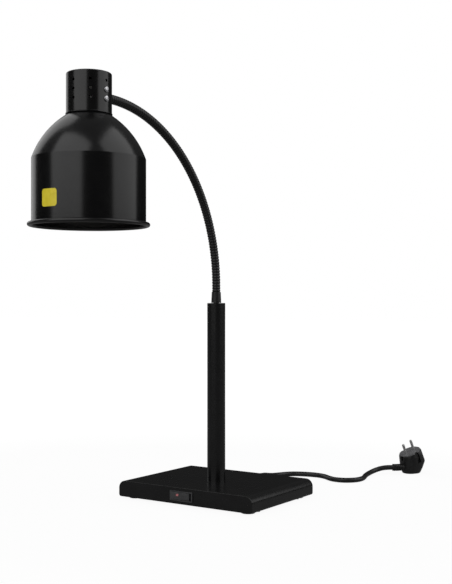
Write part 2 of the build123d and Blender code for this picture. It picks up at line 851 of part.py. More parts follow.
with BuildPart() as lampholder_bracket:
    with BuildSketch(facing(0, head_y + bracket_width / 2, 0, (0, -1, 0))):
        with Locations((0, web_z + bracket_wall / 2)):
            Rectangle(2 * leg_outer, bracket_wall)
        for side in (-1, 1):
            with Locations((side * (leg_outer + leg_inner) / 2, (collar_top_height + web_z) / 2)):
                Rectangle(bracket_wall, web_z - collar_top_height)
            with Locations(
                (side * (leg_inner + bracket_foot_inner) / 2, collar_top_height + bracket_wall / 2)
            ):
                Rectangle(leg_inner - bracket_foot_inner, bracket_wall)
    extrude(amount=bracket_width)
    with BuildSketch(level(0, head_y, bracket_top_height)):
        with GridLocations(2 * holder_screw_offset, 0, 2, 1):
            Circle(holder_screw_radius + hole_gap / 2)
    extrude(amount=-bracket_wall, mode=Mode.SUBTRACT)
    with BuildSketch(level(0, head_y, collar_top_height)):
        with GridLocations(2 * shade_screw_offset, 0, 2, 1):
            Circle(shade_screw_radius + hole_gap / 2)
    extrude(amount=bracket_wall, mode=Mode.SUBTRACT)
    for row in cap_screw_rows:
        with BuildSketch(facing(-cap_radius, head_y, row, (1, 0, 0))):
            Circle(cap_screw_radius + hole_gap / 2)
        extrude(amount=2 * cap_radius, mode=Mode.SUBTRACT)

with BuildPart() as lampholder_body:
    with BuildSketch(level(0, head_y, holder_bottom_height)):
        Circle(holder_radius)
    extrude(amount=holder_top_height - holder_bottom_height)
    fillet(edges().group_by(Axis.Z)[-1], radius=cap_top_round)
    with BuildSketch(level(0, head_y, holder_bottom_height)):
        Circle(holder_cavity_radius)
    extrude(amount=holder_cavity_top - holder_bottom_height, mode=Mode.SUBTRACT)
    with BuildSketch(level(0, head_y, holder_top_height)):
        with GridLocations(2 * holder_screw_offset, 0, 2, 1):
            Circle(holder_screw_radius + slip)
    extrude(amount=-holder_screw_depth, mode=Mode.SUBTRACT)
    for side in (-1, 1):
        with BuildSketch(
            facing(side * head_wire_x, head_y + holder_radius, head_wire_z, (0, -1, 0))
        ):
            Circle(wire_radius + contact_gap)
        extrude(amount=head_wire_depth, mode=Mode.SUBTRACT)

with BuildPart() as lampholder_shell:
    with BuildSketch(level(0, head_y, screw_shell_bottom_height)):
        Circle(holder_cavity_radius - contact_gap)
        Circle(holder_cavity_radius - contact_gap - screw_shell_wall, mode=Mode.SUBTRACT)
    extrude(amount=holder_cavity_top - screw_shell_bottom_height)

with BuildPart() as lampholder_contact:
    with BuildSketch(level(0, head_y, holder_cavity_top)):
        Circle(contact_radius)
    extrude(amount=-contact_height)

with BuildPart() as head_screws:
    with BuildSketch(level(0, head_y, bracket_top_height)):
        with GridLocations(2 * holder_screw_offset, 0, 2, 1):
            Circle(holder_screw_head_radius)
    extrude(amount=small_screw_head)
    with BuildSketch(level(0, head_y, bracket_top_height)):
        with GridLocations(2 * holder_screw_offset, 0, 2, 1):
            Circle(holder_screw_radius)
    extrude(amount=-bracket_wall - holder_screw_depth)
    with BuildSketch(level(0, head_y, collar_top_height + bracket_wall)):
        with GridLocations(2 * shade_screw_offset, 0, 2, 1):
            Circle(shade_screw_head_radius)
    extrude(amount=small_screw_head)
    with BuildSketch(level(0, head_y, collar_top_height + bracket_wall)):
        with GridLocations(2 * shade_screw_offset, 0, 2, 1):
            Circle(shade_screw_radius)
    extrude(amount=-bracket_wall - shade_wall - nut_height)

with BuildPart() as head_nuts:
    with BuildSketch(level(0, head_y, collar_top_height - shade_wall)):
        with GridLocations(2 * shade_screw_offset, 0, 2, 1):
            RegularPolygon(radius=shade_nut_radius, side_count=6, rotation=30)
            Circle(shade_screw_radius + slip, mode=Mode.SUBTRACT)
    extrude(amount=-nut_height)
    for side in (-1, 1):
        for row in cap_screw_rows:
            with BuildSketch(facing(side * leg_inner, head_y, row, (-side, 0, 0))):
                RegularPolygon(radius=cap_nut_radius, side_count=6)
                Circle(cap_screw_radius + slip, mode=Mode.SUBTRACT)
            extrude(amount=cap_nut_height)

wire_drop_y = head_y + holder_radius + head_wire_y
wire_start_y = cap_back_y - cap_wall
wire_end_y = head_y + holder_radius - head_wire_depth

with BuildPart() as head_wires:
    for side in (-1, 1):
        with BuildLine() as wire_line:
            FilletPolyline(
                (side * head_wire_x / 3, wire_start_y, neck_end_z),
                (side * head_wire_x / 3, wire_drop_y, neck_end_z),
                (side * head_wire_x, wire_drop_y, head_wire_z),
                (side * head_wire_x, wire_end_y, head_wire_z),
                radius=head_wire_bend,
            )
        with BuildSketch(facing(side * head_wire_x / 3, wire_start_y, neck_end_z, (0, -1, 0))):
            Circle(wire_radius)
        sweep(path=wire_line.line)


# Bulb: a reflector lamp, open at the top into its screw base
def bulb_outline(inset):
    """Half section of the bulb's filled shape, taken in by the inset."""
    radius = bulb_radius - inset
    neck = bulb_neck_radius - inset
    face = bulb_face_height + inset
    crown_edge = (radius * bulb_crown_edge, face + bulb_crown_rise)
    widest = (radius, bulb_face_height + bulb_widest_rise)
    with BuildLine() as outline:
        Line((0, bulb_top_height), (0, face))
        ThreePointArc((0, face), (radius * bulb_crown_middle, face + bulb_crown_middle_rise), crown_edge)
        ThreePointArc(crown_edge, (radius * bulb_corner, face + bulb_corner_rise), widest)
        ThreePointArc(
            widest,
            (radius * bulb_back_middle, bulb_face_height + bulb_back_rise),
            (neck, bulb_neck_height),
        )
        Polyline(
            (neck, bulb_neck_height),
            (neck, bulb_neck_height + bulb_neck_length),
            (bulb_base_radius + bulb_collar_lip - inset, bulb_top_height - bulb_collar_length),
            (bulb_base_radius + bulb_top_lip - inset, bulb_top_height),
            (0, bulb_top_height),
        )
    return outline.line


with BuildPart() as bulb_glass:
    with BuildSketch(head_plane):
        with BuildLine():
            add(bulb_outline(0))
        make_face()
    revolve(axis=head_axis)
    with BuildSketch(head_plane):
        with BuildLine():
            add(bulb_outline(bulb_wall))
        make_face()
    revolve(axis=head_axis, mode=Mode.SUBTRACT)

with BuildPart() as bulb_base:
    with BuildSketch(level(0, head_y, bulb_top_height)):
        Circle(bulb_base_radius)
    extrude(amount=bulb_base_top - bulb_top_height)
    with BuildSketch(level(0, head_y, bulb_top_height)):
        Circle(bulb_base_radius - bulb_base_wall)
    extrude(amount=bulb_base_top - bulb_top_height - bulb_base_wall, mode=Mode.SUBTRACT)
    with BuildSketch(level(0, head_y, bulb_base_top)):
        Circle(bulb_tip_radius)
    with BuildSketch(level(0, head_y, bulb_tip_height)):
        Circle(bulb_tip_end_radius)
    loft(ruled=True)

with BuildPart() as bulb_stem:
    with BuildSketch(level(0, head_y, bulb_top_height - stem_flange)):
        Circle(bulb_base_radius + bulb_top_lip - bulb_wall - running_gap)
    extrude(amount=stem_flange)
    with BuildSketch(level(0, head_y, stem_bottom_height)):
        Circle(stem_radius)
    extrude(amount=bulb_top_height - stem_bottom_height)

# Cord: it leaves the back, droops to the floor and runs to the plug in a loose S
cord_points = [
    (0, base_back_y + gland_length, exit_z),
    (0, base_back_y + 53.5, exit_z),
    (-6, base_back_y + 85.5, 10.0),
    (-16, base_back_y + 120.5, cord_rest_z),
    (0, base_back_y + 152.4, cord_rest_z),
    (32.7, base_back_y + 165.2, cord_rest_z),
    (62.3, base_back_y + 164.8, cord_rest_z),
    (91.2, base_back_y + 141.7, cord_rest_z),
    (115.1, base_back_y + 142.6, cord_rest_z),
    (132.4, base_back_y + 159.1, cord_rest_z),
    (134.7, base_back_y + 182.8, cord_rest_z),
    (124.6, base_back_y + 210.2, cord_rest_z),
    (118.4, base_back_y + 238.4, cord_rest_z),
    (122.0, base_back_y + 258.3, 8.0),
    (135.1, base_back_y + 271.8, relief_z),
    (148.0, base_back_y + 278.6, relief_z),
]

cord_vectors = [Vector(*point) for point in cord_points]
cord_runs = [after - before for before, after in zip(cord_vectors, cord_vectors[1:])]
cord_radii = []
for before, after in zip(cord_runs, cord_runs[1:]):
    turn = before.get_angle(after)
    cord_radii.append(0.45 * min(before.length, after.length) / tan(radians(turn) / 2))

with BuildPart() as mains_cord:
    with BuildLine() as cord_line:
        FilletPolyline(*cord_points, radius=cord_radii)
    with BuildSketch(Plane(origin=cord_points[0], x_dir=(1, 0, 0), z_dir=cord_runs[0])):
        Circle(cord_radius)
    sweep(path=cord_line.line)

cord_length = cord_line.wires()[0].length
print("cord bend radii", [round(radius, 1) for radius in cord_radii])
print("cord length", round(cord_length, 1))
print("cord volume", round(mains_cord.part.volume))
print("section times length", round(pi * cord_radius**2 * cord_length))

# Plug: it lies on its slanted back with the pins up, leaning towards the cord
cord_end = cord_vectors[-1]
last_run = cord_runs[-1]
relief_heading = degrees(atan2(last_run.Y, last_run.X))
plug_heading = relief_heading + relief_turn
relief_arc_radius = relief_length / radians(relief_turn)
relief_centre = Vector(
    cord_end.X - relief_arc_radius * sin(radians(relief_heading)),
    cord_end.Y + relief_arc_radius * cos(radians(relief_heading)),
    relief_z,
)
plug_start = Vector(
    relief_centre.X + relief_arc_radius * sin(radians(plug_heading)),
    relief_centre.Y - relief_arc_radius * cos(radians(plug_heading)),
    0,
)
plug_ahead = Vector(cos(radians(plug_heading)), sin(radians(plug_heading)), 0)


def plug_plane(ahead, height, lean):
    """A plane across the plug, leaning towards the cord, so far ahead of the strain relief and so high."""
    place = plug_start + plug_ahead * ahead + Vector(0, 0, height)
    rise = Vector(0, 0, 1)
    across = plug_ahead * cos(radians(lean)) + rise * sin(radians(lean))
    outward = rise * cos(radians(lean)) - plug_ahead * sin(radians(lean))
    return Plane(origin=place, x_dir=across, z_dir=outward)


face_plane = plug_plane(plug_face_s, plug_face_z, plug_lean)
relief_plane = Plane(origin=cord_end, x_dir=(-last_run.Y, last_run.X, 0), z_dir=(last_run.X, last_run.Y, 0))

with BuildPart() as plug_body:
    with BuildSketch(plug_plane(plug_foot_s, 0, 0)):
        RectangleRounded(plug_foot_length, plug_foot_width, plug_foot_corner)
    with BuildSketch(plug_plane(plug_waist_s, plug_waist_z, plug_lean / 2)):
        RectangleRounded(plug_waist_length, plug_waist_width, plug_face_corner)
    with BuildSketch(face_plane):
        RectangleRounded(plug_face_length, plug_face_width, plug_face_corner)
    loft(ruled=True)
    with BuildSketch(Plane(origin=plug_start + Vector(0, 0, relief_z), x_dir=(0, 0, 1), z_dir=plug_ahead)):
        Circle(relief_radius)
    extrude(amount=plug_foot_s)
    with BuildSketch(relief_plane):
        Circle(relief_radius)
    revolve(axis=Axis(relief_centre, (0, 0, 1)), revolution_arc=relief_turn)
    for side in (-1, 1):
        with BuildSketch(face_plane):
            with Locations((0, side * plug_face_width / 2)):
                Rectangle(clip_width, 2 * clip_seat)
        extrude(amount=-clip_length, mode=Mode.SUBTRACT)
        with BuildSketch(face_plane):
            with Locations((side * plug_face_length / 2, 0)):
                Rectangle(2 * guide_depth, guide_width)
        extrude(amount=-guide_length, mode=Mode.SUBTRACT)
        with BuildSketch(face_plane):
            with Locations((side * pin_spacing / 2, 0)):
                Circle(pin_radius + slip)
        extrude(amount=-pin_seat, mode=Mode.SUBTRACT)

with BuildPart() as plug_face:
    with BuildSketch(face_plane):
        RectangleRounded(
            plug_face_length - 2 * face_plate_inset,
            plug_face_width - 2 * face_plate_inset,
            plug_face_corner - face_plate_inset,
        )
        with GridLocations(pin_spacing, 0, 2, 1):
            Circle(pin_radius + slip, mode=Mode.SUBTRACT)
        with GridLocations(0, plug_face_width, 1, 2):
            Rectangle(clip_width, 2 * clip_seat, mode=Mode.SUBTRACT)
    extrude(amount=face_plate_height)

with BuildPart() as plug_pins:
    with BuildSketch(face_plane.offset(-pin_seat)):
        with GridLocations(pin_spacing, 0, 2, 1):
            Circle(pin_radius)
    extrude(amount=pin_seat + face_plate_height + pin_length)
    pin_tips = edges().filter_by(GeomType.CIRCLE).sort_by(Axis(face_plane.origin, face_plane.z_dir))[-2:]
    fillet(pin_tips, radius=pin_radius * pin_tip_share)

with BuildPart() as plug_earth_clips:
    with BuildSketch(face_plane.offset(-clip_length)):
        with GridLocations(0, plug_face_width - 2 * clip_seat + clip_thickness, 1, 2):
            Rectangle(clip_width - 2 * contact_gap, clip_thickness)
    extrude(amount=clip_length + face_plate_height)

pieces = {
    "base_shell": base_shell,
    "bottom_plate": bottom_plate,
    "ballast_plate": ballast_plate,
    "bottom_screws": bottom_screws,
    "rubber_feet": rubber_feet,
    "switch_housing": switch_housing,
    "switch_rocker": switch_rocker,
    "switch_lens": switch_lens,
    "switch_terminals": switch_terminals,
    "terminal_block": terminal_block,
    "base_wires": base_wires,
    "cord_tail": cord_tail,
    "cord_clamp": cord_clamp,
    "mains_gland": mains_gland,
    "gland_nut": gland_nut,
    "post_tube": post_tube,
    "post_top_plug": post_top_plug,
    "post_bottom_plug": post_bottom_plug,
    "post_stud": post_stud,
    "post_nut": post_nut,
    "post_lead": post_lead,
    "neck_stub": neck_stub,
    "neck_tail_nut": neck_tail_nut,
    "neck_sleeve": neck_sleeve,
    "neck_end_fitting": neck_end_fitting,
    "neck_lock_nut": neck_lock_nut,
    "cap": cap,
    "cap_screws": cap_screws,
    "shade": shade,
    "blank_label": blank_label,
    "lampholder_bracket": lampholder_bracket,
    "lampholder_body": lampholder_body,
    "lampholder_shell": lampholder_shell,
    "lampholder_contact": lampholder_contact,
    "head_screws": head_screws,
    "head_nuts": head_nuts,
    "head_wires": head_wires,
    "bulb_glass": bulb_glass,
    "bulb_base": bulb_base,
    "bulb_stem": bulb_stem,
    "mains_cord": mains_cord,
    "plug_body": plug_body,
    "plug_face": plug_face,
    "plug_pins": plug_pins,
    "plug_earth_clips": plug_earth_clips,
}

os.makedirs("parts", exist_ok=True)
for name, piece in pieces.items():
    piece.part.label = name
    export_step(piece.part, f"parts/{name}.step")

# The knuckles of the neck are alike, each turned on by one more step about the arc's axis
for number in range(segment_count):
    segment = first_segment.part.rotate(neck_axis, number * segment_angle)
    segment.label = f"neck_segment_{number + 1:02d}"
    export_step(segment, f"parts/{segment.label}.step")
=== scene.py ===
import json
from collections import namedtuple
from math import atan2, cos, degrees, pi, radians, sin

import bpy
from mathutils import Matrix, Vector


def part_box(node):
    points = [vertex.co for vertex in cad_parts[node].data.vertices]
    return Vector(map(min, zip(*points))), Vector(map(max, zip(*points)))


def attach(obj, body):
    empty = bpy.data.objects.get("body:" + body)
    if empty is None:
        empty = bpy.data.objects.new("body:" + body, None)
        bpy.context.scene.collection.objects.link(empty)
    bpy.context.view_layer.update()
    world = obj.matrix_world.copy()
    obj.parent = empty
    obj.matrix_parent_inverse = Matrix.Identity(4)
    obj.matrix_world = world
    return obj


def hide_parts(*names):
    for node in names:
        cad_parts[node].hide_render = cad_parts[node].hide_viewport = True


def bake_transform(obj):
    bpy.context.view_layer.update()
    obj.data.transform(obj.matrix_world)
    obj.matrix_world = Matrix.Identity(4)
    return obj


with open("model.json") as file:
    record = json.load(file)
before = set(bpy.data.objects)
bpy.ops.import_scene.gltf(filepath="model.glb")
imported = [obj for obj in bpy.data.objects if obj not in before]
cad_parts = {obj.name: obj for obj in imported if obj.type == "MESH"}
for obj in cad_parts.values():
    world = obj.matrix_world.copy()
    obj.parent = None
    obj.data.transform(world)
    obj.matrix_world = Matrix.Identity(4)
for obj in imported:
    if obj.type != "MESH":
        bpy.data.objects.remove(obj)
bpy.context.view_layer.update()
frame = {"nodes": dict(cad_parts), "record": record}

# Food heat lamp: finishes and finer pieces over the fixed frame. Metres, in the frame's own place.
MM = 0.001

# Camera: level, at the height of the middle of the lamp, looking at its switch side from the right
camera_place = (0.9429, -1.2157, 0.3225)
camera_turn = 34.0
camera_lens = 61.48
camera_sensor = 36.0
camera_shift_up = 0.0201

# Cord: the points of its route, as in the part's source, from the gland along the floor to the plug
cord_exit = (0.0, 0.27565, 0.0164)
cord_rest_z = 0.0046
plug_inlet_z = 0.0126
cord_points = [
    cord_exit,
    (0.0, 0.30115, 0.0164),
    (-0.006, 0.33315, 0.0100),
    (-0.016, 0.36815, cord_rest_z),
    (0.0, 0.40005, cord_rest_z),
    (0.0327, 0.41285, cord_rest_z),
    (0.0623, 0.41245, cord_rest_z),
    (0.0912, 0.38935, cord_rest_z),
    (0.1151, 0.39025, cord_rest_z),
    (0.1324, 0.40675, cord_rest_z),
    (0.1347, 0.43045, cord_rest_z),
    (0.1246, 0.45785, cord_rest_z),
    (0.1184, 0.48605, cord_rest_z),
    (0.1220, 0.50595, 0.0080),
    (0.1351, 0.51945, plug_inlet_z),
    (0.1480, 0.52625, plug_inlet_z),
]
cord_diameter = 9.0 * MM

# Working values of the meshes
merge_distance = 0.002 * MM
pick_margin = 0.1 * MM
sharp_angle = 35.0

# Places read from the frame
base_front_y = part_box("base_shell")[0].y
post_low, post_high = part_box("post_tube")
post_y = (post_low.y + post_high.y) / 2
shade_low, shade_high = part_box("shade")
head_y = (shade_low.y + shade_high.y) / 2
sleeve_top_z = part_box("neck_sleeve")[1].z
tail_bottom_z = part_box("neck_stub")[0].z

# Neck
neck_arc_radius = 267.0 * MM
neck_straight = 8.7 * MM
neck_groove_radius = 6.05 * MM
neck_crest_radius = 6.9 * MM
neck_bore_radius = 3.5 * MM
neck_tail_radius = 5.0 * MM
joint_angle = 6.0
joint_count = 16
ribs_per_joint = 6
rib_angle = joint_angle / ribs_per_joint
rib_rings = 6
rib_roundness = 0.7
straight_ribs = 2
neck_sides = 32
neck_collar_depth = 0.8 * MM
thread_pitch = 1.2 * MM
thread_root = 0.93
thread_crest_start = 0.35
thread_crest_end = 0.65
arc_centre = Vector((0, post_y - neck_arc_radius, sleeve_top_z + neck_straight))
neck_end_z = arc_centre.z + neck_arc_radius
rib_pitch = radians(rib_angle) * neck_arc_radius

# Cap and its screws: the turns of the cross recesses are in degrees, by side and row
cap_radius = 32.1 * MM
cap_screw_heights = (619.7 * MM, 607.0 * MM)
cap_screw_head_radius = 4.35 * MM
cap_screw_head_height = 2.6 * MM
cap_screw_shank_radius = 2.0 * MM
cap_screw_shank_length = 6.7 * MM
cap_screw_sides = 40
cap_screw_cross_turns = {(-1, 0): 12, (-1, 1): 40, (1, 0): 25, (1, 1): 66}

# The screws' shape as shares: the tip's of the shank, the curve's and the cross recess's of the head
screw_tip_radius = 0.8
screw_tip_start = 0.92
screw_head_curve = [
    (0.0, 0.98),
    (0.1, 1.0),
    (0.32, 1.0),
    (0.6, 0.93),
    (0.82, 0.76),
    (0.95, 0.5),
    (1.0, 0.2),
]
cross_length = 1.15
cross_width = 0.22
cross_depth = 0.6

# Switch
switch_x = -2.0 * MM
switch_z = 16.6 * MM
bezel_size = (44.0 * MM, 16.0 * MM)
bezel_depth = 1.8 * MM
bezel_corner = 1.5 * MM
bezel_edge = 0.3 * MM
switch_body_size = (42.0 * MM, 20.0 * MM, 14.0 * MM)
switch_cavity_size = (40.0 * MM, 12.6 * MM)
switch_cavity_depth = 12.0 * MM
rocker_size = (38.0 * MM, 12.0 * MM)
rocker_front = 6.0 * MM
rocker_middle_front = 4.5 * MM
rocker_back = 3.0 * MM
rocker_step_x = 14.4 * MM
rocker_step_depth = 6.0 * MM
rocker_turn = 7.0
rocker_pivot_depth = 3.5 * MM
rocker_edge = 0.45 * MM

# Plug: the rings of its body, in millimetres and degrees, ahead of the strain relief's end
Ring = namedtuple("Ring", "ahead height lean length width")
plug_rings = {
    "foot": Ring(ahead=22.5, height=0.0, lean=0.0, length=30.0, width=24.0),
    "foot rounding": Ring(ahead=22.5, height=0.7, lean=0.4, length=33.0, width=27.0),
    "foot edge": Ring(ahead=22.7, height=2.0, lean=1.1, length=34.8, width=29.0),
    "lower side": Ring(ahead=23.9, height=10.0, lean=5.2, length=40.8, width=35.4),
    "under the waist": Ring(ahead=24.6, height=17.5, lean=9.5, length=45.6, width=40.6),
    "waist": Ring(ahead=25.0, height=20.0, lean=11.0, length=46.6, width=41.8),
    "over the waist": Ring(ahead=24.6, height=22.5, lean=12.5, length=46.2, width=41.8),
    "upper side": Ring(ahead=22.0, height=31.0, lean=17.1, length=43.4, width=40.9),
    "face edge": Ring(ahead=19.8, height=38.6, lean=21.5, length=41.2, width=40.0),
    "face rounding": Ring(ahead=19.55, height=39.3, lean=21.9, length=40.6, width=39.4),
    "face": Ring(ahead=19.5, height=39.5, lean=22.0, length=39.8, width=38.6),
}
plug_blank_size = (47.0, 42.0)
plug_corner = 18.5 * MM
groove_size = (5.0 * MM, 4.4 * MM, 22.0 * MM)
groove_off_axis = 20.0 * MM
groove_depth = 5.0 * MM
recess_size = (8.0 * MM, 6.0 * MM, 34.0 * MM)
recess_off_axis = 19.5 * MM
recess_depth = 2.0 * MM

# Strain relief of the plug
relief_radius = 6.7 * MM
relief_length = 19.0 * MM
relief_turn = 34.0
relief_root = 6.0 * MM
relief_mouth = 0.8
relief_body = 0.97
relief_sides = 24
relief_bands = 9
relief_slot_spacing = 120
relief_slot_half = 36
relief_slot_depth = 1.1 * MM

# Finishes: the stretch of a noise pattern over which a roughness or a colour changes
roughness_from = 0.3
roughness_to = 0.7
colour_from = 0.35
colour_to = 0.65

# Room: the floor's shading, with the lamp's shadow, gives way to white further out; angles in degrees
floor_size = 30
floor_shade = 0.6
floor_white = 1.06
floor_in_reflections = 0.16
white_in_reflections = 0.9
fade_start = 0.7
fade_end = 1.6
white_by_lamp = 0.88
surround_low = 0.1
surround_high = 0.9
surround_low_strength = 0.012
surround_high_strength = 0.14
surround_fill = 0.2
panel_distance = 4.1
panel_rise = 39
panel_lean = 25
panel_height = 5.2
panels_middle = Vector((0, 0, 0.45))


def begin():
    """Leaves edit mode and deselects everything."""
    if bpy.context.object and bpy.context.object.mode != "OBJECT":
        bpy.ops.object.mode_set(mode="OBJECT")
    bpy.ops.object.select_all(action="DESELECT")


def only(piece):
    """Makes one piece the selected and active one."""
    begin()
    piece.select_set(True)
    bpy.context.view_layer.objects.active = piece


def edit(piece):
    """Opens a piece in edit mode with nothing selected."""
    only(piece)
    bpy.ops.object.mode_set(mode="EDIT")
    bpy.ops.mesh.select_all(action="DESELECT")


def close_normals():
    """Merges doubles and turns all faces outwards, in edit mode."""
    bpy.ops.mesh.select_all(action="SELECT")
    bpy.ops.mesh.remove_doubles(threshold=merge_distance)
    bpy.ops.mesh.normals_make_consistent(inside=False)


def circle(radius, centre, sides, turn=(0, 0, 0)):
    """A ring of edges at its size and place, open in edit mode with all of it selected."""
    begin()
    bpy.ops.mesh.primitive_circle_add(vertices=sides, radius=radius, location=centre, rotation=turn)
    bpy.ops.object.transform_apply(location=True, rotation=True, scale=True)
    bpy.ops.object.mode_set(mode="EDIT")
    bpy.ops.mesh.select_mode(type="VERT")
    bpy.ops.mesh.select_all(action="SELECT")
    return bpy.context.object


def pull(step=(0, 0, 0)):
    """Extrudes what is selected by a step."""
    bpy.ops.mesh.extrude_region_move(TRANSFORM_OT_translate={"value": step})


def widen(factor, centre):
    """Scales what is selected about a point."""
    bpy.ops.transform.resize(value=(factor, factor, factor), center_override=centre)


def tilt(angle, axis, centre):
    """Turns what is selected by so many degrees about an axis through a point."""
    bpy.ops.transform.rotate(value=-radians(angle), orient_axis=axis, center_override=centre)


def selected_centre():
    """The middle of the selected ring."""
    piece = bpy.context.edit_object
    piece.update_from_editmode()
    places = [vertex.co for vertex in piece.data.vertices if vertex.select]
    return sum(places, Vector()) / len(places)


def pick(piece, kind, test):
    """Selects the vertices, edges or faces of a piece whose middles pass a test, in edit mode."""
    bpy.ops.object.mode_set(mode="EDIT")
    bpy.ops.mesh.select_mode(type=kind)
    bpy.ops.mesh.select_all(action="DESELECT")
    bpy.ops.object.mode_set(mode="OBJECT")
    mesh = piece.data
    if kind == "FACE":
        for face in mesh.polygons:
            face.select = test(face.center)
    elif kind == "EDGE":
        for edge in mesh.edges:
            first, second = (mesh.vertices[number].co for number in edge.vertices)
            edge.select = test((first + second) / 2)
    else:
        for vertex in mesh.vertices:
            vertex.select = test(vertex.co)
    bpy.ops.object.mode_set(mode="EDIT")


def join_open_ends():
    """Joins the two open rings of a piece, so that its wall is closed."""
    bpy.ops.mesh.select_all(action="DESELECT")
    bpy.ops.mesh.select_non_manifold()
    bpy.ops.mesh.bridge_edge_loops()
    close_normals()
    begin()


def stacked(outline, sides):
    """Rings of an outline of heights and radii, one on the other, open at both ends in edit mode."""
    height, radius = outline[0]
    piece = circle(radius, (0, 0, height), sides)
    for next_height, next_radius in outline[1:]:
        pull((0, 0, next_height - height))
        widen(next_radius / radius, (0, 0, next_height))
        height = next_height
        radius = next_radius
    return piece


def turned(outline, sides):
    """A solid turned about the Z axis from an outline of heights and radii, closed at both ends."""
    piece = stacked(outline, sides)
    bpy.ops.mesh.select_all(action="SELECT")
    bpy.ops.mesh.fill_holes(sides=0)
    close_normals()
    begin()
    return piece


def block(size, centre, turn=(0, 0, 0)):
    """A box at its size and place."""
    begin()
    bpy.ops.mesh.primitive_cube_add(size=1, location=centre, rotation=turn, scale=size)
    bpy.ops.object.transform_apply(location=True, rotation=True, scale=True)
    return bpy.context.object


def copy_of(pattern):
    """A copy of a piece with its own mesh."""
    piece = pattern.copy()
    piece.data = pattern.data.copy()
    bpy.context.scene.collection.objects.link(piece)
    return piece


def cut_away(piece, cutter):
    """Cuts one piece's shape out of another and removes the cutter."""
    only(piece)
    cut = piece.modifiers.new("cut", "BOOLEAN")
    cut.operation = "DIFFERENCE"
    cut.solver = "EXACT"
    cut.object = cutter
    bpy.ops.object.modifier_apply(modifier=cut.name)
    bpy.data.objects.remove(cutter, do_unlink=True)


def soften(piece, width):
    """Rounds the sharp edges of a piece."""
    only(piece)
    rounding = piece.modifiers.new("rounding", "BEVEL")
    rounding.width = width
    rounding.segments = 3
    rounding.limit_method = "ANGLE"
    rounding.angle_limit = radians(sharp_angle)
    bpy.ops.object.modifier_apply(modifier=rounding.name)


def dress(piece, name, slot, smooth=40.0):
    """Names a finished piece and gives it its finish, with its place in its mesh."""
    only(piece)
    bpy.ops.object.transform_apply(location=True, rotation=True, scale=True)
    bpy.ops.object.shade_smooth_by_angle(angle=radians(smooth))
    piece.name = name
    piece.data.name = name
    piece.data.materials.clear()
    piece.data.materials.append(finishes[slot])
    begin()
    return piece


def set_camera():
    """The photograph's view."""
    data = bpy.data.cameras.new("camera")
    data.lens = camera_lens
    data.sensor_width = camera_sensor
    data.shift_y = camera_shift_up
    camera = bpy.data.objects.new("camera", data)
    camera.location = camera_place
    camera.rotation_euler = (radians(90), 0, radians(camera_turn))
    bpy.context.scene.collection.objects.link(camera)
    bpy.context.scene.camera = camera


# Finishes


def plain_finish(name, colour, roughness, metallic=0.0):
    """A material with its constant values on the shader itself."""
    material = bpy.data.materials.new(name)
    material.use_nodes = True
    shader = material.node_tree.nodes["Principled BSDF"]
    shader.inputs["Base Color"].default_value = (*colour, 1)
    shader.inputs["Roughness"].default_value = roughness
    shader.inputs["Metallic"].default_value = metallic
    return material


def grain(material, scale, detail=2.0, stretch=(1, 1, 1)):
    """Noise over the piece's own coordinates, scale in cells to the metre."""
    nodes = material.node_tree.nodes
    links = material.node_tree.links
    place = nodes.new("ShaderNodeTexCoord")
    mapping = nodes.new("ShaderNodeMapping")
    mapping.inputs["Scale"].default_value = stretch
    noise = nodes.new("ShaderNodeTexNoise")
    noise.inputs["Scale"].default_value = scale
    noise.inputs["Detail"].default_value = detail
    links.new(place.outputs["Object"], mapping.inputs["Vector"])
    links.new(mapping.outputs["Vector"], noise.inputs["Vector"])
    return noise.outputs[0]


def map_range(nodes, from_low, from_high, to_low, to_high):
    """A node that maps one range of values to another."""
    node = nodes.new("ShaderNodeMapRange")
    node.inputs["From Min"].default_value = from_low
    node.inputs["From Max"].default_value = from_high
    node.inputs["To Min"].default_value = to_low
    node.inputs["To Max"].default_value = to_high
    return node


def vary_roughness(material, pattern, low, high):
    """Roughness that wanders between two values."""
    nodes = material.node_tree.nodes
    spread = map_range(nodes, roughness_from, roughness_to, low, high)
    material.node_tree.links.new(pattern, spread.inputs["Value"])
    shader = nodes["Principled BSDF"]
    material.node_tree.links.new(spread.outputs["Result"], shader.inputs["Roughness"])


def vary_colour(material, pattern, dark, light):
    """Colour that wanders between two shades."""
    nodes = material.node_tree.nodes
    ramp = nodes.new("ShaderNodeValToRGB")
    first, last = ramp.color_ramp.elements
    first.position = colour_from
    first.color = (*dark, 1)
    last.position = colour_to
    last.color = (*light, 1)
    material.node_tree.links.new(pattern, ramp.inputs["Fac"])
    shader = nodes["Principled BSDF"]
    material.node_tree.links.new(ramp.outputs["Color"], shader.inputs["Base Color"])


def add_relief(material, pattern, depth, strength=1.0):
    """Fine relief from a pattern, over any relief already there."""
    nodes = material.node_tree.nodes
    links = material.node_tree.links
    bump = nodes.new("ShaderNodeBump")
    bump.inputs["Distance"].default_value = depth
    bump.inputs["Strength"].default_value = strength
    links.new(pattern, bump.inputs["Height"])
    shader = nodes["Principled BSDF"]
    if shader.inputs["Normal"].is_linked:
        links.new(shader.inputs["Normal"].links[0].from_socket, bump.inputs["Normal"])
    links.new(bump.outputs["Normal"], shader.inputs["Normal"])


def turning_marks(material, spacing):
    """Rings left by turning a sheet about the upright axis; a wave node has 20 radians to the unit."""
    nodes = material.node_tree.nodes
    links = material.node_tree.links
    place = nodes.new("ShaderNodeTexCoord")
    wave = nodes.new("ShaderNodeTexWave")
    wave.wave_type = "BANDS"
    wave.bands_direction = "Z"
    wave.inputs["Scale"].default_value = 2 * pi / (20 * spacing)
    wave.inputs["Distortion"].default_value = 1.5
    wave.inputs["Detail"].default_value = 2.0
    wave.inputs["Detail Scale"].default_value = 3.0
    links.new(place.outputs["Object"], wave.inputs["Vector"])
    return wave.outputs["Fac"]


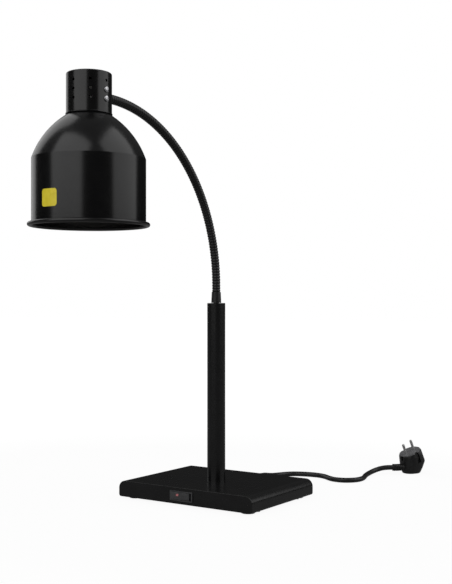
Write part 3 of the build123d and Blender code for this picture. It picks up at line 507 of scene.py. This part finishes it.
def powder_coat():
    """Satin black powder coat of the base and post."""
    material = plain_finish("satin_black_powder_coat", (0.004, 0.004, 0.0042), 0.22)
    vary_colour(material, grain(material, 60), (0.0034, 0.0034, 0.0036), (0.005, 0.005, 0.0052))
    vary_roughness(material, grain(material, 240, 3), 0.22, 0.28)
    add_relief(material, grain(material, 1100, 2), 0.006 * MM)
    return material


def spun_black():
    """Smooth black coat over the spun shade and cap, with faint turning marks."""
    material = plain_finish("black_coat_on_spun_sheet", (0.004, 0.004, 0.0042), 0.17)
    vary_colour(material, grain(material, 40), (0.0034, 0.0034, 0.0036), (0.0048, 0.0048, 0.005))
    vary_roughness(material, grain(material, 150, 3, (1, 1, 6)), 0.19, 0.23)
    add_relief(material, turning_marks(material, 6.4 * MM), 0.003 * MM)
    add_relief(material, grain(material, 900, 2), 0.006 * MM)
    return material


def hose_black():
    """Black coat on the wound hose of the neck, its tone varying a little at random."""
    material = plain_finish("black_coat_on_wound_hose", (0.004, 0.004, 0.004), 0.26)
    vary_colour(material, grain(material, 300, 4), (0.003, 0.003, 0.003), (0.006, 0.006, 0.0062))
    vary_roughness(material, grain(material, 500, 3), 0.22, 0.32)
    add_relief(material, grain(material, 1800, 3), 0.03 * MM)
    return material


def brushed_steel():
    """Bare drawn steel of the hidden plates, nuts, pins and bracket."""
    material = plain_finish("bare_brushed_steel", (0.42, 0.42, 0.43), 0.32, 1.0)
    vary_colour(material, grain(material, 90, 3), (0.36, 0.36, 0.37), (0.48, 0.48, 0.49))
    vary_roughness(material, grain(material, 700, 2, (1, 12, 12)), 0.24, 0.42)
    add_relief(material, grain(material, 1400, 2, (1, 14, 14)), 0.01 * MM)
    return material


def nickel_plate():
    """Nickel plate of the plug's pins."""
    material = plain_finish("nickel_plate", (0.66, 0.66, 0.66), 0.42, 1.0)
    vary_colour(material, grain(material, 200, 3), (0.60, 0.60, 0.60), (0.70, 0.70, 0.70))
    vary_roughness(material, grain(material, 700, 2), 0.36, 0.48)
    add_relief(material, grain(material, 1400, 2), 0.01 * MM)
    return material


def shade_darkened_clip_steel():
    """Steel of the earth clips in the plug's recesses, darkened as painted shade for the shade that
    falls in those recesses.
    """
    material = plain_finish("shade_darkened_clip_steel", (0.07, 0.07, 0.07), 0.55, 1.0)
    vary_colour(material, grain(material, 300, 3), (0.05, 0.05, 0.05), (0.09, 0.09, 0.088))
    vary_roughness(material, grain(material, 700, 2), 0.48, 0.62)
    add_relief(material, grain(material, 1400, 2), 0.01 * MM)
    return material


def bright_chrome():
    """Chrome plate of the screws in the cap."""
    material = plain_finish("chrome_plate", (0.62, 0.62, 0.64), 0.12, 1.0)
    vary_roughness(material, grain(material, 600, 2), 0.06, 0.14)
    add_relief(material, grain(material, 900, 2), 0.01 * MM)
    return material


def soft_rubber():
    """Dull black rubber of the feet, the sleeve and the cord's cover."""
    material = plain_finish("dull_black_rubber", (0.008, 0.008, 0.008), 0.46)
    vary_colour(material, grain(material, 200, 3), (0.006, 0.006, 0.006), (0.010, 0.010, 0.010))
    vary_roughness(material, grain(material, 500, 3), 0.34, 0.44)
    add_relief(material, grain(material, 2200, 2), 0.006 * MM)
    return material


def moulded_black():
    """Black moulded plastic of the switch, gland and plug."""
    material = plain_finish("moulded_black_plastic", (0.008, 0.008, 0.0083), 0.34)
    vary_colour(material, grain(material, 150, 2), (0.006, 0.006, 0.0063), (0.010, 0.010, 0.0104))
    vary_roughness(material, grain(material, 700, 2), 0.3, 0.42)
    add_relief(material, grain(material, 2600, 2), 0.015 * MM)
    return material


def painted_light_rocker():
    """Grey moulded plastic of the switch's rocker and bezel. It is lighter than the base's black as
    painted light, standing in for the light caught on the rocker's raised face and the bezel's edges.
    """
    material = plain_finish("painted_light_rocker_plastic", (0.05, 0.05, 0.052), 0.3)
    vary_colour(material, grain(material, 200, 2), (0.044, 0.044, 0.046), (0.056, 0.056, 0.058))
    vary_roughness(material, grain(material, 700, 2), 0.26, 0.36)
    add_relief(material, grain(material, 2600, 2), 0.01 * MM)
    return material


def moulded_grey():
    """Grey moulded plastic of the plug's face."""
    material = plain_finish("moulded_grey_plastic", (0.13, 0.13, 0.135), 0.45)
    vary_colour(material, grain(material, 250, 3), (0.115, 0.115, 0.12), (0.15, 0.15, 0.155))
    vary_roughness(material, grain(material, 800, 2), 0.38, 0.52)
    add_relief(material, grain(material, 2400, 2), 0.02 * MM)
    return material


def red_window():
    """Clear red plastic of the mark on the switch."""
    material = plain_finish("clear_red_plastic", (0.52, 0.16, 0.16), 0.2)
    vary_colour(material, grain(material, 900, 2), (0.42, 0.10, 0.10), (0.62, 0.24, 0.25))
    add_relief(material, grain(material, 1500, 1), 0.01 * MM)
    return material


def glazed_ceramic():
    """White glazed ceramic of the lampholder."""
    material = plain_finish("white_glazed_ceramic", (0.82, 0.81, 0.77), 0.18)
    vary_colour(material, grain(material, 120, 4), (0.76, 0.75, 0.71), (0.85, 0.84, 0.80))
    vary_roughness(material, grain(material, 300, 2), 0.12, 0.26)
    add_relief(material, grain(material, 350, 2), 0.05 * MM)
    return material


def rolled_brass():
    """Brass of the screwed shell, the contact and the bulb's base."""
    material = plain_finish("rolled_brass", (0.70, 0.52, 0.25), 0.3, 1.0)
    vary_colour(material, grain(material, 200, 4), (0.60, 0.43, 0.19), (0.76, 0.59, 0.30))
    vary_roughness(material, grain(material, 400, 3), 0.22, 0.42)
    add_relief(material, grain(material, 1200, 2), 0.01 * MM)
    return material


def frosted_glass():
    """Hard glass of the bulb, frosted within."""
    material = plain_finish("frosted_hard_glass", (0.83, 0.80, 0.75), 0.28)
    shader = material.node_tree.nodes["Principled BSDF"]
    shader.inputs["Transmission Weight"].default_value = 0.35
    vary_roughness(material, grain(material, 500, 3), 0.22, 0.36)
    add_relief(material, grain(material, 260, 2), 0.03 * MM)
    return material


def yellow_film():
    """Yellow printed film of the blank label."""
    material = plain_finish("yellow_film", (0.80, 0.66, 0.03), 0.35)
    vary_colour(material, grain(material, 160, 3), (0.76, 0.62, 0.025), (0.83, 0.69, 0.04))
    vary_roughness(material, grain(material, 600, 2), 0.3, 0.42)
    add_relief(material, grain(material, 700, 2), 0.01 * MM)
    return material


def wire_insulation():
    """Grey silicone cover of the wires."""
    material = plain_finish("grey_wire_cover", (0.30, 0.30, 0.31), 0.5)
    vary_colour(material, grain(material, 300, 2), (0.26, 0.26, 0.27), (0.34, 0.34, 0.35))
    vary_roughness(material, grain(material, 900, 2), 0.42, 0.58)
    add_relief(material, grain(material, 2000, 2), 0.02 * MM)
    return material


def white_nylon():
    """White nylon of the terminal block."""
    material = plain_finish("white_nylon", (0.76, 0.76, 0.73), 0.42)
    vary_colour(material, grain(material, 250, 2), (0.72, 0.72, 0.69), (0.80, 0.80, 0.77))
    vary_roughness(material, grain(material, 900, 2), 0.36, 0.5)
    add_relief(material, grain(material, 1800, 2), 0.02 * MM)
    return material


finishes = {
    "black_powder_coat": powder_coat(),
    "black_spun_aluminium": spun_black(),
    "black_neck_hose": hose_black(),
    "bare_steel": brushed_steel(),
    "chrome_screw": bright_chrome(),
    "black_rubber": soft_rubber(),
    "black_plastic": moulded_black(),
    "grey_plastic": moulded_grey(),
    "red_lens": red_window(),
    "white_ceramic": glazed_ceramic(),
    "brass_parts": rolled_brass(),
    "lamp_glass": frosted_glass(),
    "yellow_label": yellow_film(),
    "wire_cover": wire_insulation(),
    "white_plastic": white_nylon(),
}
# The rocker and bezel share a lighter grey that paints in the light they catch.
painted_light_switch_plastic = painted_light_rocker()


def finish_frame_nodes():
    """Gives every piece of the frame the finish of its slot, and the plug's metal pieces their own."""
    for part in frame["record"]["subparts"]:
        node = frame["nodes"][part["node"]]
        if not node.material_slots:
            node.data.materials.append(None)
        for slot in node.material_slots:
            slot.material = finishes[part["material_slot"]]
    frame["nodes"]["plug_pins"].material_slots[0].material = nickel_plate()
    # The earth clips' dark steel is painted shade for their recesses.
    frame["nodes"]["plug_earth_clips"].material_slots[0].material = shade_darkened_clip_steel()


def lay_cord():
    """The mains cord on its route from the gland to the plug."""
    data = bpy.data.curves.new("cord", "CURVE")
    data.dimensions = "3D"
    data.bevel_depth = cord_diameter / 2
    data.bevel_resolution = 6
    data.use_fill_caps = True
    data.resolution_u = 12
    line = data.splines.new("NURBS")
    line.points.add(len(cord_points) - 1)
    for point, place in zip(line.points, cord_points):
        point.co = (*place, 1)
    line.order_u = 3
    line.use_endpoint_u = True
    cord = bpy.data.objects.new("cord", data)
    bpy.context.scene.collection.objects.link(cord)
    data.materials.append(finishes["black_rubber"])
    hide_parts("mains_cord")
    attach(cord, "base")
    return cord


# Neck: the wound hose, in sections that run from the middle of one knuckle to the middle of the next


def rib_radius(share):
    """Radius of a rib at a share of its pitch."""
    rib_height = neck_crest_radius - neck_groove_radius
    return neck_groove_radius + rib_height * abs(sin(pi * share)) ** rib_roundness


def on_arc(angle):
    """The point of the neck's centre line so many degrees along its arc."""
    turn = radians(angle)
    return arc_centre + neck_arc_radius * Vector((0, cos(turn), sin(turn)))


def rib_shares(count):
    """Shares of the pitch at which the rings of so many ribs lie, the first ring left out."""
    return [(step + 1) / rib_rings for step in range(count * rib_rings)]


def close_bore(radius, steps, move):
    """Narrows the open end to the bore, runs the bore back and joins it to the other end."""
    place = selected_centre()
    pull()
    widen(neck_bore_radius / radius, place)
    for _ in range(steps):
        pull()
        move()
    join_open_ends()


def ribs_on_arc(radius, count):
    """Carries the selected ring along the arc over so many ribs and returns its last radius."""
    for share in rib_shares(count):
        pull()
        tilt(rib_angle / rib_rings, "X", arc_centre)
        widen(rib_radius(share) / radius, selected_centre())
        radius = rib_radius(share)
    return radius


def ribs_on_straight(radius, count, direction, pitch):
    """Carries the selected ring straight on over so many ribs and returns its last radius."""
    for share in rib_shares(count):
        pull(Vector(direction) * pitch / rib_rings)
        widen(rib_radius(share) / radius, selected_centre())
        radius = rib_radius(share)
    return radius


def hose_section():
    """One section of hose across the first joint between two knuckles, with its bore."""
    first = joint_angle / 2
    piece = circle(rib_radius(0), on_arc(first), neck_sides, (radians(first), 0, 0))
    radius = ribs_on_arc(rib_radius(0), ribs_per_joint)
    close_bore(radius, ribs_per_joint, lambda: tilt(-rib_angle, "X", arc_centre))
    return piece


def root_section():
    """The hose from the sleeve's top over its first joint."""
    start = Vector((0, post_y, sleeve_top_z))
    pitch = neck_straight / straight_ribs
    piece = circle(rib_radius(0), start, neck_sides)
    radius = ribs_on_straight(rib_radius(0), straight_ribs, (0, 0, 1), pitch)
    radius = ribs_on_arc(radius, ribs_per_joint // 2)
    close_bore(radius, ribs_per_joint // 2, lambda: tilt(-rib_angle, "X", arc_centre))
    return piece


def neck_tail(name, length, start, direction):
    """A threaded tail that runs on from an end of the hose, along Z, then turned to its direction."""
    root_radius = neck_tail_radius * thread_root
    outline = [(0.0, root_radius)]
    turns = int(length / thread_pitch)
    for turn in range(turns):
        outline.append(((turn + thread_crest_start) * thread_pitch, neck_tail_radius))
        outline.append(((turn + thread_crest_end) * thread_pitch, neck_tail_radius))
        outline.append(((turn + 1) * thread_pitch, root_radius))
    outline.append((turns * thread_pitch, neck_bore_radius))
    outline.append((0.0, neck_bore_radius))
    piece = stacked(outline, neck_sides)
    join_open_ends()
    aim = Vector((0, 0, 1)).rotation_difference(Vector(direction)).to_matrix().to_4x4()
    piece.matrix_world = Matrix.Translation(start) @ aim
    return dress(piece, name, "black_neck_hose")


def end_section():
    """The hose over its last joint and straight on into the cap."""
    first = joint_angle * (joint_count - 1) - joint_angle / 2
    piece = circle(rib_radius(0), on_arc(first), neck_sides, (radians(first), 0, 0))
    radius = ribs_on_arc(rib_radius(0), ribs_per_joint // 2)
    radius = ribs_on_straight(radius, ribs_per_joint // 2, (0, -1, 0), rib_pitch)
    collar_y = head_y + cap_radius - neck_collar_depth
    pull()
    widen(neck_crest_radius / radius, selected_centre())
    pull((0, collar_y - selected_centre().y, 0))
    end = selected_centre()
    back = (arc_centre.y - end.y) / ribs_per_joint
    pull()
    widen(neck_bore_radius / neck_crest_radius, end)
    for _ in range(ribs_per_joint):
        pull((0, back, 0))
    for _ in range(ribs_per_joint // 2):
        pull()
        tilt(-rib_angle, "X", arc_centre)
    join_open_ends()
    return piece


def build_neck():
    """All the sections of the hose, each bending over its own joint."""
    nodes = ["neck_stub"] + [f"neck_segment_{number:02d}" for number in range(1, joint_count)]
    pattern = hose_section()
    sections = [root_section()]
    for number in range(1, joint_count - 1):
        section = copy_of(pattern)
        turn = Matrix.Rotation(radians(joint_angle * (number - 1)), 4, "X")
        section.matrix_world = Matrix.Translation(arc_centre) @ turn @ Matrix.Translation(-arc_centre)
        sections.append(section)
    bpy.data.objects.remove(pattern, do_unlink=True)
    sections.append(end_section())
    for number, section in enumerate(sections):
        dress(section, f"hose_{number + 1:02d}", "black_neck_hose", smooth=55.0)
        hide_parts(nodes[number])
        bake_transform(section)
    root_tail = neck_tail(
        "neck_root_tail", sleeve_top_z - tail_bottom_z, Vector((0, post_y, tail_bottom_z)), (0, 0, 1)
    )
    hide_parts("neck_stub")
    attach(root_tail, "neck_root")
    tail_start = Vector((0, head_y + cap_radius - neck_collar_depth, neck_end_z))
    tail_length = tail_start.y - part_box("neck_end_fitting")[0].y
    end_tail = neck_tail("neck_end_tail", tail_length, tail_start, (0, -1, 0))
    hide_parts("neck_end_fitting")
    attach(end_tail, "head")


def pan_head_screw():
    """A screw of the cap with its cross recess, upright, its head standing on z 0."""
    outline = [
        (-cap_screw_shank_length, cap_screw_shank_radius * screw_tip_radius),
        (-cap_screw_shank_length * screw_tip_start, cap_screw_shank_radius),
        (0.0, cap_screw_shank_radius),
    ]
    for height, radius in screw_head_curve:
        outline.append((height * cap_screw_head_height, radius * cap_screw_head_radius))
    screw = turned(outline, cap_screw_sides)
    cross_size = (
        cap_screw_head_radius * cross_length,
        cap_screw_head_radius * cross_width,
        cap_screw_head_height * cross_depth * 2,
    )
    for turn in (0, 90):
        cut_away(screw, block(cross_size, (0, 0, cap_screw_head_height), (0, 0, radians(turn))))
    return screw


def build_cap_screws():
    """Four chrome screws, two on each side of the cap."""
    pattern = pan_head_screw()
    copies = []
    for (side, row), turn in cap_screw_cross_turns.items():
        screw = copy_of(pattern)
        place = Matrix.Translation((side * cap_radius, head_y, cap_screw_heights[row]))
        aim = Matrix.Rotation(side * radians(90), 4, "Y")
        screw.matrix_world = place @ aim @ Matrix.Rotation(radians(turn), 4, "Z")
        copies.append(screw)
    bpy.data.objects.remove(pattern, do_unlink=True)
    begin()
    for screw in copies:
        screw.select_set(True)
    bpy.context.view_layer.objects.active = copies[0]
    bpy.ops.object.join()
    screws = dress(bpy.context.object, "cap_screw_set", "chrome_screw", smooth=35.0)
    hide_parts("cap_screws")
    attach(screws, "head")


def build_switch_housing(front):
    """The body of the switch with its bezel and cavity, in the front wall of the base."""
    middle = Vector((switch_x, front, switch_z))
    width, depth, height = switch_body_size
    housing = block(switch_body_size, middle + Vector((0, depth / 2, 0)))
    only(housing)
    pick(housing, "FACE", lambda place: place.y < front + pick_margin)
    pull()
    bpy.ops.transform.resize(
        value=(bezel_size[0] / width, 1, bezel_size[1] / height), center_override=middle
    )
    pull((0, -bezel_depth, 0))
    rim = front - bezel_depth / 2
    pick(housing, "EDGE", lambda place: abs(place.y - rim) < pick_margin)
    bpy.ops.mesh.bevel(offset=bezel_corner, offset_type="OFFSET", segments=4, affect="EDGES")
    pick(housing, "FACE", lambda place: place.y < front - bezel_depth + pick_margin)
    pull()
    bpy.ops.transform.resize(
        value=(switch_cavity_size[0] / bezel_size[0], 1, switch_cavity_size[1] / bezel_size[1]),
        center_override=middle,
    )
    pull((0, bezel_depth + switch_cavity_depth, 0))
    close_normals()
    soften(housing, bezel_edge)
    dress(housing, "switch_bezel", "black_plastic", smooth=35.0)
    # The bezel takes the same lighter grey, painted light along its edges.
    housing.data.materials[0] = painted_light_switch_plastic
    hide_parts("switch_housing")
    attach(housing, "base")


def build_rocker(front):
    """The rocker, hollowed in its middle and stepped at its pressed end."""
    width, height = rocker_size
    middle_y = (rocker_back - rocker_front) / 2
    rocker = block((width, rocker_front + rocker_back, height), (0, middle_y, 0))
    for cut_x in (0, rocker_step_x):
        edit(rocker)
        bpy.ops.mesh.select_all(action="SELECT")
        bpy.ops.mesh.bisect(plane_co=(cut_x, 0, 0), plane_no=(1, 0, 0))
    pick(rocker, "VERT", lambda place: abs(place.x) < pick_margin and place.y < 0)
    bpy.ops.transform.translate(value=(0, rocker_front - rocker_middle_front, 0))
    pick(rocker, "FACE", lambda place: place.x > rocker_step_x and place.y < -rocker_back)
    pull((0, rocker_step_depth, 0))
    close_normals()
    soften(rocker, rocker_edge)
    pivot = Matrix.Translation((switch_x, front + rocker_pivot_depth, switch_z))
    rocker.matrix_world = pivot @ Matrix.Rotation(radians(rocker_turn), 4, "Z")
    dress(rocker, "switch_rocker_cap", "black_plastic", smooth=35.0)
    # The rocker's lighter grey is painted light on its raised face.
    rocker.data.materials[0] = painted_light_switch_plastic
    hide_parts("switch_rocker")
    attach(rocker, "rocker")


# Plug: modelled ahead along X from the end of its strain relief, then turned to its heading


def plug_place():
    """The matrix that carries the plug from its own frame to the floor, and the sleeve's bend radius."""
    end = Vector(cord_points[-1])
    run = end - Vector(cord_points[-2])
    heading = atan2(run.y, run.x)
    bend = relief_length / radians(relief_turn)
    centre = end + bend * Vector((-sin(heading), cos(heading), 0))
    turned_heading = heading + radians(relief_turn)
    start = centre + bend * Vector((sin(turned_heading), -cos(turned_heading), 0))
    start.z = 0
    return Matrix.Translation(start) @ Matrix.Rotation(turned_heading, 4, "Z"), bend


def plug_shell():
    """The moulded body of the plug, rings set one on the other and joined."""
    rings = list(plug_rings.values())
    ring = rings[0]
    blank_length, blank_width = plug_blank_size
    begin()
    bpy.ops.mesh.primitive_plane_add(size=1, scale=(1, 1, 1))
    piece = bpy.context.object
    bpy.ops.object.mode_set(mode="EDIT")
    bpy.ops.mesh.select_mode(type="VERT")
    bpy.ops.mesh.select_all(action="SELECT")
    bpy.ops.transform.resize(value=(blank_length * MM, blank_width * MM, 1))
    bpy.ops.mesh.bevel(offset=plug_corner, offset_type="OFFSET", segments=9, affect="VERTICES")
    bpy.ops.transform.resize(value=(ring.length / blank_length, ring.width / blank_width, 1))
    bpy.ops.transform.translate(value=(ring.ahead * MM, 0, ring.height * MM))
    for above in rings[1:]:
        centre = (ring.ahead * MM, 0, ring.height * MM)
        step = ((above.ahead - ring.ahead) * MM, 0, (above.height - ring.height) * MM)
        growth = (above.length / ring.length, above.width / ring.width, 1)
        pull()
        tilt(ring.lean, "Y", centre)
        bpy.ops.transform.resize(value=growth, center_override=centre)
        tilt(-above.lean, "Y", centre)
        bpy.ops.transform.translate(value=step)
        ring = above
    bpy.ops.mesh.select_all(action="DESELECT")
    bpy.ops.mesh.select_non_manifold()
    bpy.ops.mesh.edge_face_add()
    close_normals()
    begin()
    return piece


def plug_cutters():
    """The guide grooves in line with the pins, and the recesses of the earth clips."""
    face = plug_rings["face"]
    lean = Matrix.Rotation(-radians(face.lean), 4, "Y")
    place = Matrix.Translation((face.ahead * MM, 0, face.height * MM)) @ lean
    cutters = []
    for side in (-1, 1):
        groove = block(groove_size, (side * groove_off_axis, 0, -groove_depth))
        recess = block(recess_size, (0, side * recess_off_axis, -recess_depth))
        for cutter in (groove, recess):
            cutter.matrix_world = place
            cutters.append(cutter)
    return cutters


def relief_sleeve(bend):
    """The strain relief: a curved sleeve with staggered slots, in the plug's own frame."""
    steps = 2 * relief_bands + 1
    centre = Vector((0, bend, plug_inlet_z))
    turn = relief_turn / steps
    mouth = (0, 0, plug_inlet_z)
    piece = circle(relief_radius * relief_mouth, mouth, relief_sides, (0, radians(90), 0))
    tilt(-relief_turn, "Z", centre)
    pull()
    widen(relief_body / relief_mouth, selected_centre())
    for _ in range(steps):
        pull()
        tilt(turn, "Z", centre)
    widen(1 / relief_body, selected_centre())
    pull((relief_root, 0, 0))
    bpy.ops.mesh.select_all(action="SELECT")
    bpy.ops.mesh.fill_holes(sides=0)
    close_normals()
    for band in range(relief_bands):
        sink_slots(piece, centre, turn, band)
    begin()
    return piece


def sink_slots(piece, centre, turn, band):
    """Sinks three slots round the sleeve in one band, every other band turned by half a spacing."""
    bend = centre.y
    slot_step = 2 * band + 1
    stagger = relief_slot_spacing / 2 * (band % 2)
    half_face = 180 / relief_sides

    def in_slot(place):
        """Whether a face's middle lies in one of the band's slots."""
        out = place - centre
        step = (degrees(atan2(out.x, -out.y)) + relief_turn) / turn - 0.5
        if round(step) != slot_step:
            return False
        around = degrees(atan2(out.z, Vector((out.x, out.y)).length - bend)) + stagger + half_face
        return abs(around % relief_slot_spacing - relief_slot_spacing / 2) < relief_slot_half

    pick(piece, "FACE", in_slot)
    bpy.ops.mesh.extrude_region_shrink_fatten(
        TRANSFORM_OT_shrink_fatten={"value": -relief_slot_depth}
    )


def build_plug():
    """The plug's body and strain relief."""
    place, bend = plug_place()
    shell = plug_shell()
    for cutter in plug_cutters():
        cut_away(shell, cutter)
    shell.matrix_world = place
    dress(shell, "plug_shell", "black_plastic", smooth=32.0)
    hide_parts("plug_body")
    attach(shell, "base")
    sleeve = relief_sleeve(bend)
    sleeve.matrix_world = place
    dress(sleeve, "plug_strain_relief", "black_plastic", smooth=32.0)
    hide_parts("plug_body")
    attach(sleeve, "base")
    return [shell, sleeve]


# Room


def math_node(nodes, operation, factor=None):
    """A node that reckons with its inputs, the second one a fixed factor where it is given."""
    node = nodes.new("ShaderNodeMath")
    node.operation = operation
    if factor is not None:
        node.inputs[1].default_value = factor
    return node


def seen_straight(nodes, links, path):
    """1 for rays that come from the camera, through glass too, else 0."""
    seen = math_node(nodes, "MAXIMUM")
    links.new(path.outputs["Is Camera Ray"], seen.inputs[0])
    links.new(path.outputs["Is Transmission Ray"], seen.inputs[1])
    return seen.outputs[0]


def studio_floor():
    """Pale matte floor with the lamp's shadow, white further out and dim in the lamp's reflections."""
    material = bpy.data.materials.new("pale_floor")
    material.use_nodes = True
    nodes = material.node_tree.nodes
    links = material.node_tree.links
    nodes.clear()
    output = nodes.new("ShaderNodeOutputMaterial")
    mix = nodes.new("ShaderNodeMixShader")
    matte = nodes.new("ShaderNodeBsdfDiffuse")
    matte.inputs["Color"].default_value = (floor_shade, floor_shade, floor_shade, 1)
    glow = nodes.new("ShaderNodeEmission")
    glow.inputs["Color"].default_value = (1, 1, 1, 1)
    path = nodes.new("ShaderNodeLightPath")
    seen = seen_straight(nodes, links, path)
    place = nodes.new("ShaderNodeTexCoord")
    reach = nodes.new("ShaderNodeVectorMath")
    reach.operation = "LENGTH"
    fade = map_range(nodes, fade_start, fade_end, white_by_lamp, 1.0)
    share = math_node(nodes, "MULTIPLY")
    covered = math_node(nodes, "MULTIPLY_ADD", white_in_reflections)
    bright = math_node(nodes, "MULTIPLY", floor_white)
    strength = math_node(nodes, "MULTIPLY_ADD", floor_in_reflections)
    links.new(place.outputs["Object"], reach.inputs[0])
    links.new(reach.outputs["Value"], fade.inputs["Value"])
    links.new(seen, share.inputs[0])
    links.new(fade.outputs["Result"], share.inputs[1])
    links.new(path.outputs["Is Glossy Ray"], covered.inputs[0])
    links.new(share.outputs[0], covered.inputs[2])
    links.new(covered.outputs[0], mix.inputs["Fac"])
    links.new(seen, bright.inputs[0])
    links.new(path.outputs["Is Glossy Ray"], strength.inputs[0])
    links.new(bright.outputs[0], strength.inputs[2])
    links.new(strength.outputs[0], glow.inputs["Strength"])
    links.new(matte.outputs[0], mix.inputs[1])
    links.new(glow.outputs[0], mix.inputs[2])
    links.new(mix.outputs[0], output.inputs["Surface"])
    return material


def set_floor():
    """The floor under the lamp."""
    begin()
    bpy.ops.mesh.primitive_plane_add(size=floor_size)
    floor = bpy.context.object
    floor.name = "floor"
    floor.data.materials.append(studio_floor())


def set_surround():
    """White to the camera; in reflections it is dark at the horizon and grey overhead."""
    world = bpy.data.worlds.new("surround")
    world.use_nodes = True
    bpy.context.scene.world = world
    nodes = world.node_tree.nodes
    links = world.node_tree.links
    background = nodes["Background"]
    background.inputs["Color"].default_value = (1, 1, 1, 1)
    path = nodes.new("ShaderNodeLightPath")
    seen = seen_straight(nodes, links, path)
    place = nodes.new("ShaderNodeTexCoord")
    direction = nodes.new("ShaderNodeSeparateXYZ")
    height = map_range(
        nodes, surround_low, surround_high, surround_low_strength, surround_high_strength
    )
    glossy = math_node(nodes, "MULTIPLY")
    rest = math_node(nodes, "MULTIPLY_ADD", surround_fill)
    total = math_node(nodes, "MAXIMUM")
    links.new(place.outputs["Generated"], direction.inputs[0])
    links.new(direction.outputs["Z"], height.inputs["Value"])
    links.new(path.outputs["Is Glossy Ray"], glossy.inputs[0])
    links.new(height.outputs["Result"], glossy.inputs[1])
    links.new(path.outputs["Is Diffuse Ray"], rest.inputs[0])
    links.new(glossy.outputs[0], rest.inputs[2])
    links.new(seen, total.inputs[0])
    links.new(rest.outputs[0], total.inputs[1])
    links.new(total.outputs[0], background.inputs["Strength"])


def outward(bearing, rise):
    """The direction so many degrees to the right of the camera's side and so many above the floor."""
    turn = radians(bearing - 90 + camera_turn)
    up = radians(rise)
    return Vector((cos(turn) * cos(up), sin(turn) * cos(up), sin(up)))


def softbox(name, bearing, width, brightness):
    """A tall panel of light that leans over the lamp, at a bearing to the right of the camera."""
    data = bpy.data.lights.new(name, "AREA")
    data.shape = "RECTANGLE"
    data.size = width
    data.size_y = panel_height
    data.energy = brightness * pi * width * panel_height
    lamp = bpy.data.objects.new(name, data)
    lamp.location = panels_middle + outward(bearing, panel_rise) * panel_distance
    lamp.rotation_euler = outward(bearing, panel_lean).to_track_quat("Z", "Y").to_euler()
    lamp.visible_camera = False
    bpy.context.scene.collection.objects.link(lamp)


def set_lights():
    """Two wide panels in front with a gap between them, and a narrow one at the back left."""
    softbox("left_panel", bearing=-38, width=5.0, brightness=1.2)
    softbox("right_panel", bearing=84, width=4.8, brightness=1.08)
    softbox("back_panel", bearing=-137, width=2.5, brightness=0.9)


set_camera()
bpy.context.scene.view_settings.view_transform = "Standard"
finish_frame_nodes()
cord = lay_cord()
build_neck()
build_cap_screws()
build_switch_housing(base_front_y)
build_rocker(base_front_y)
plug_pieces = build_plug()
set_floor()
set_surround()
set_lights()
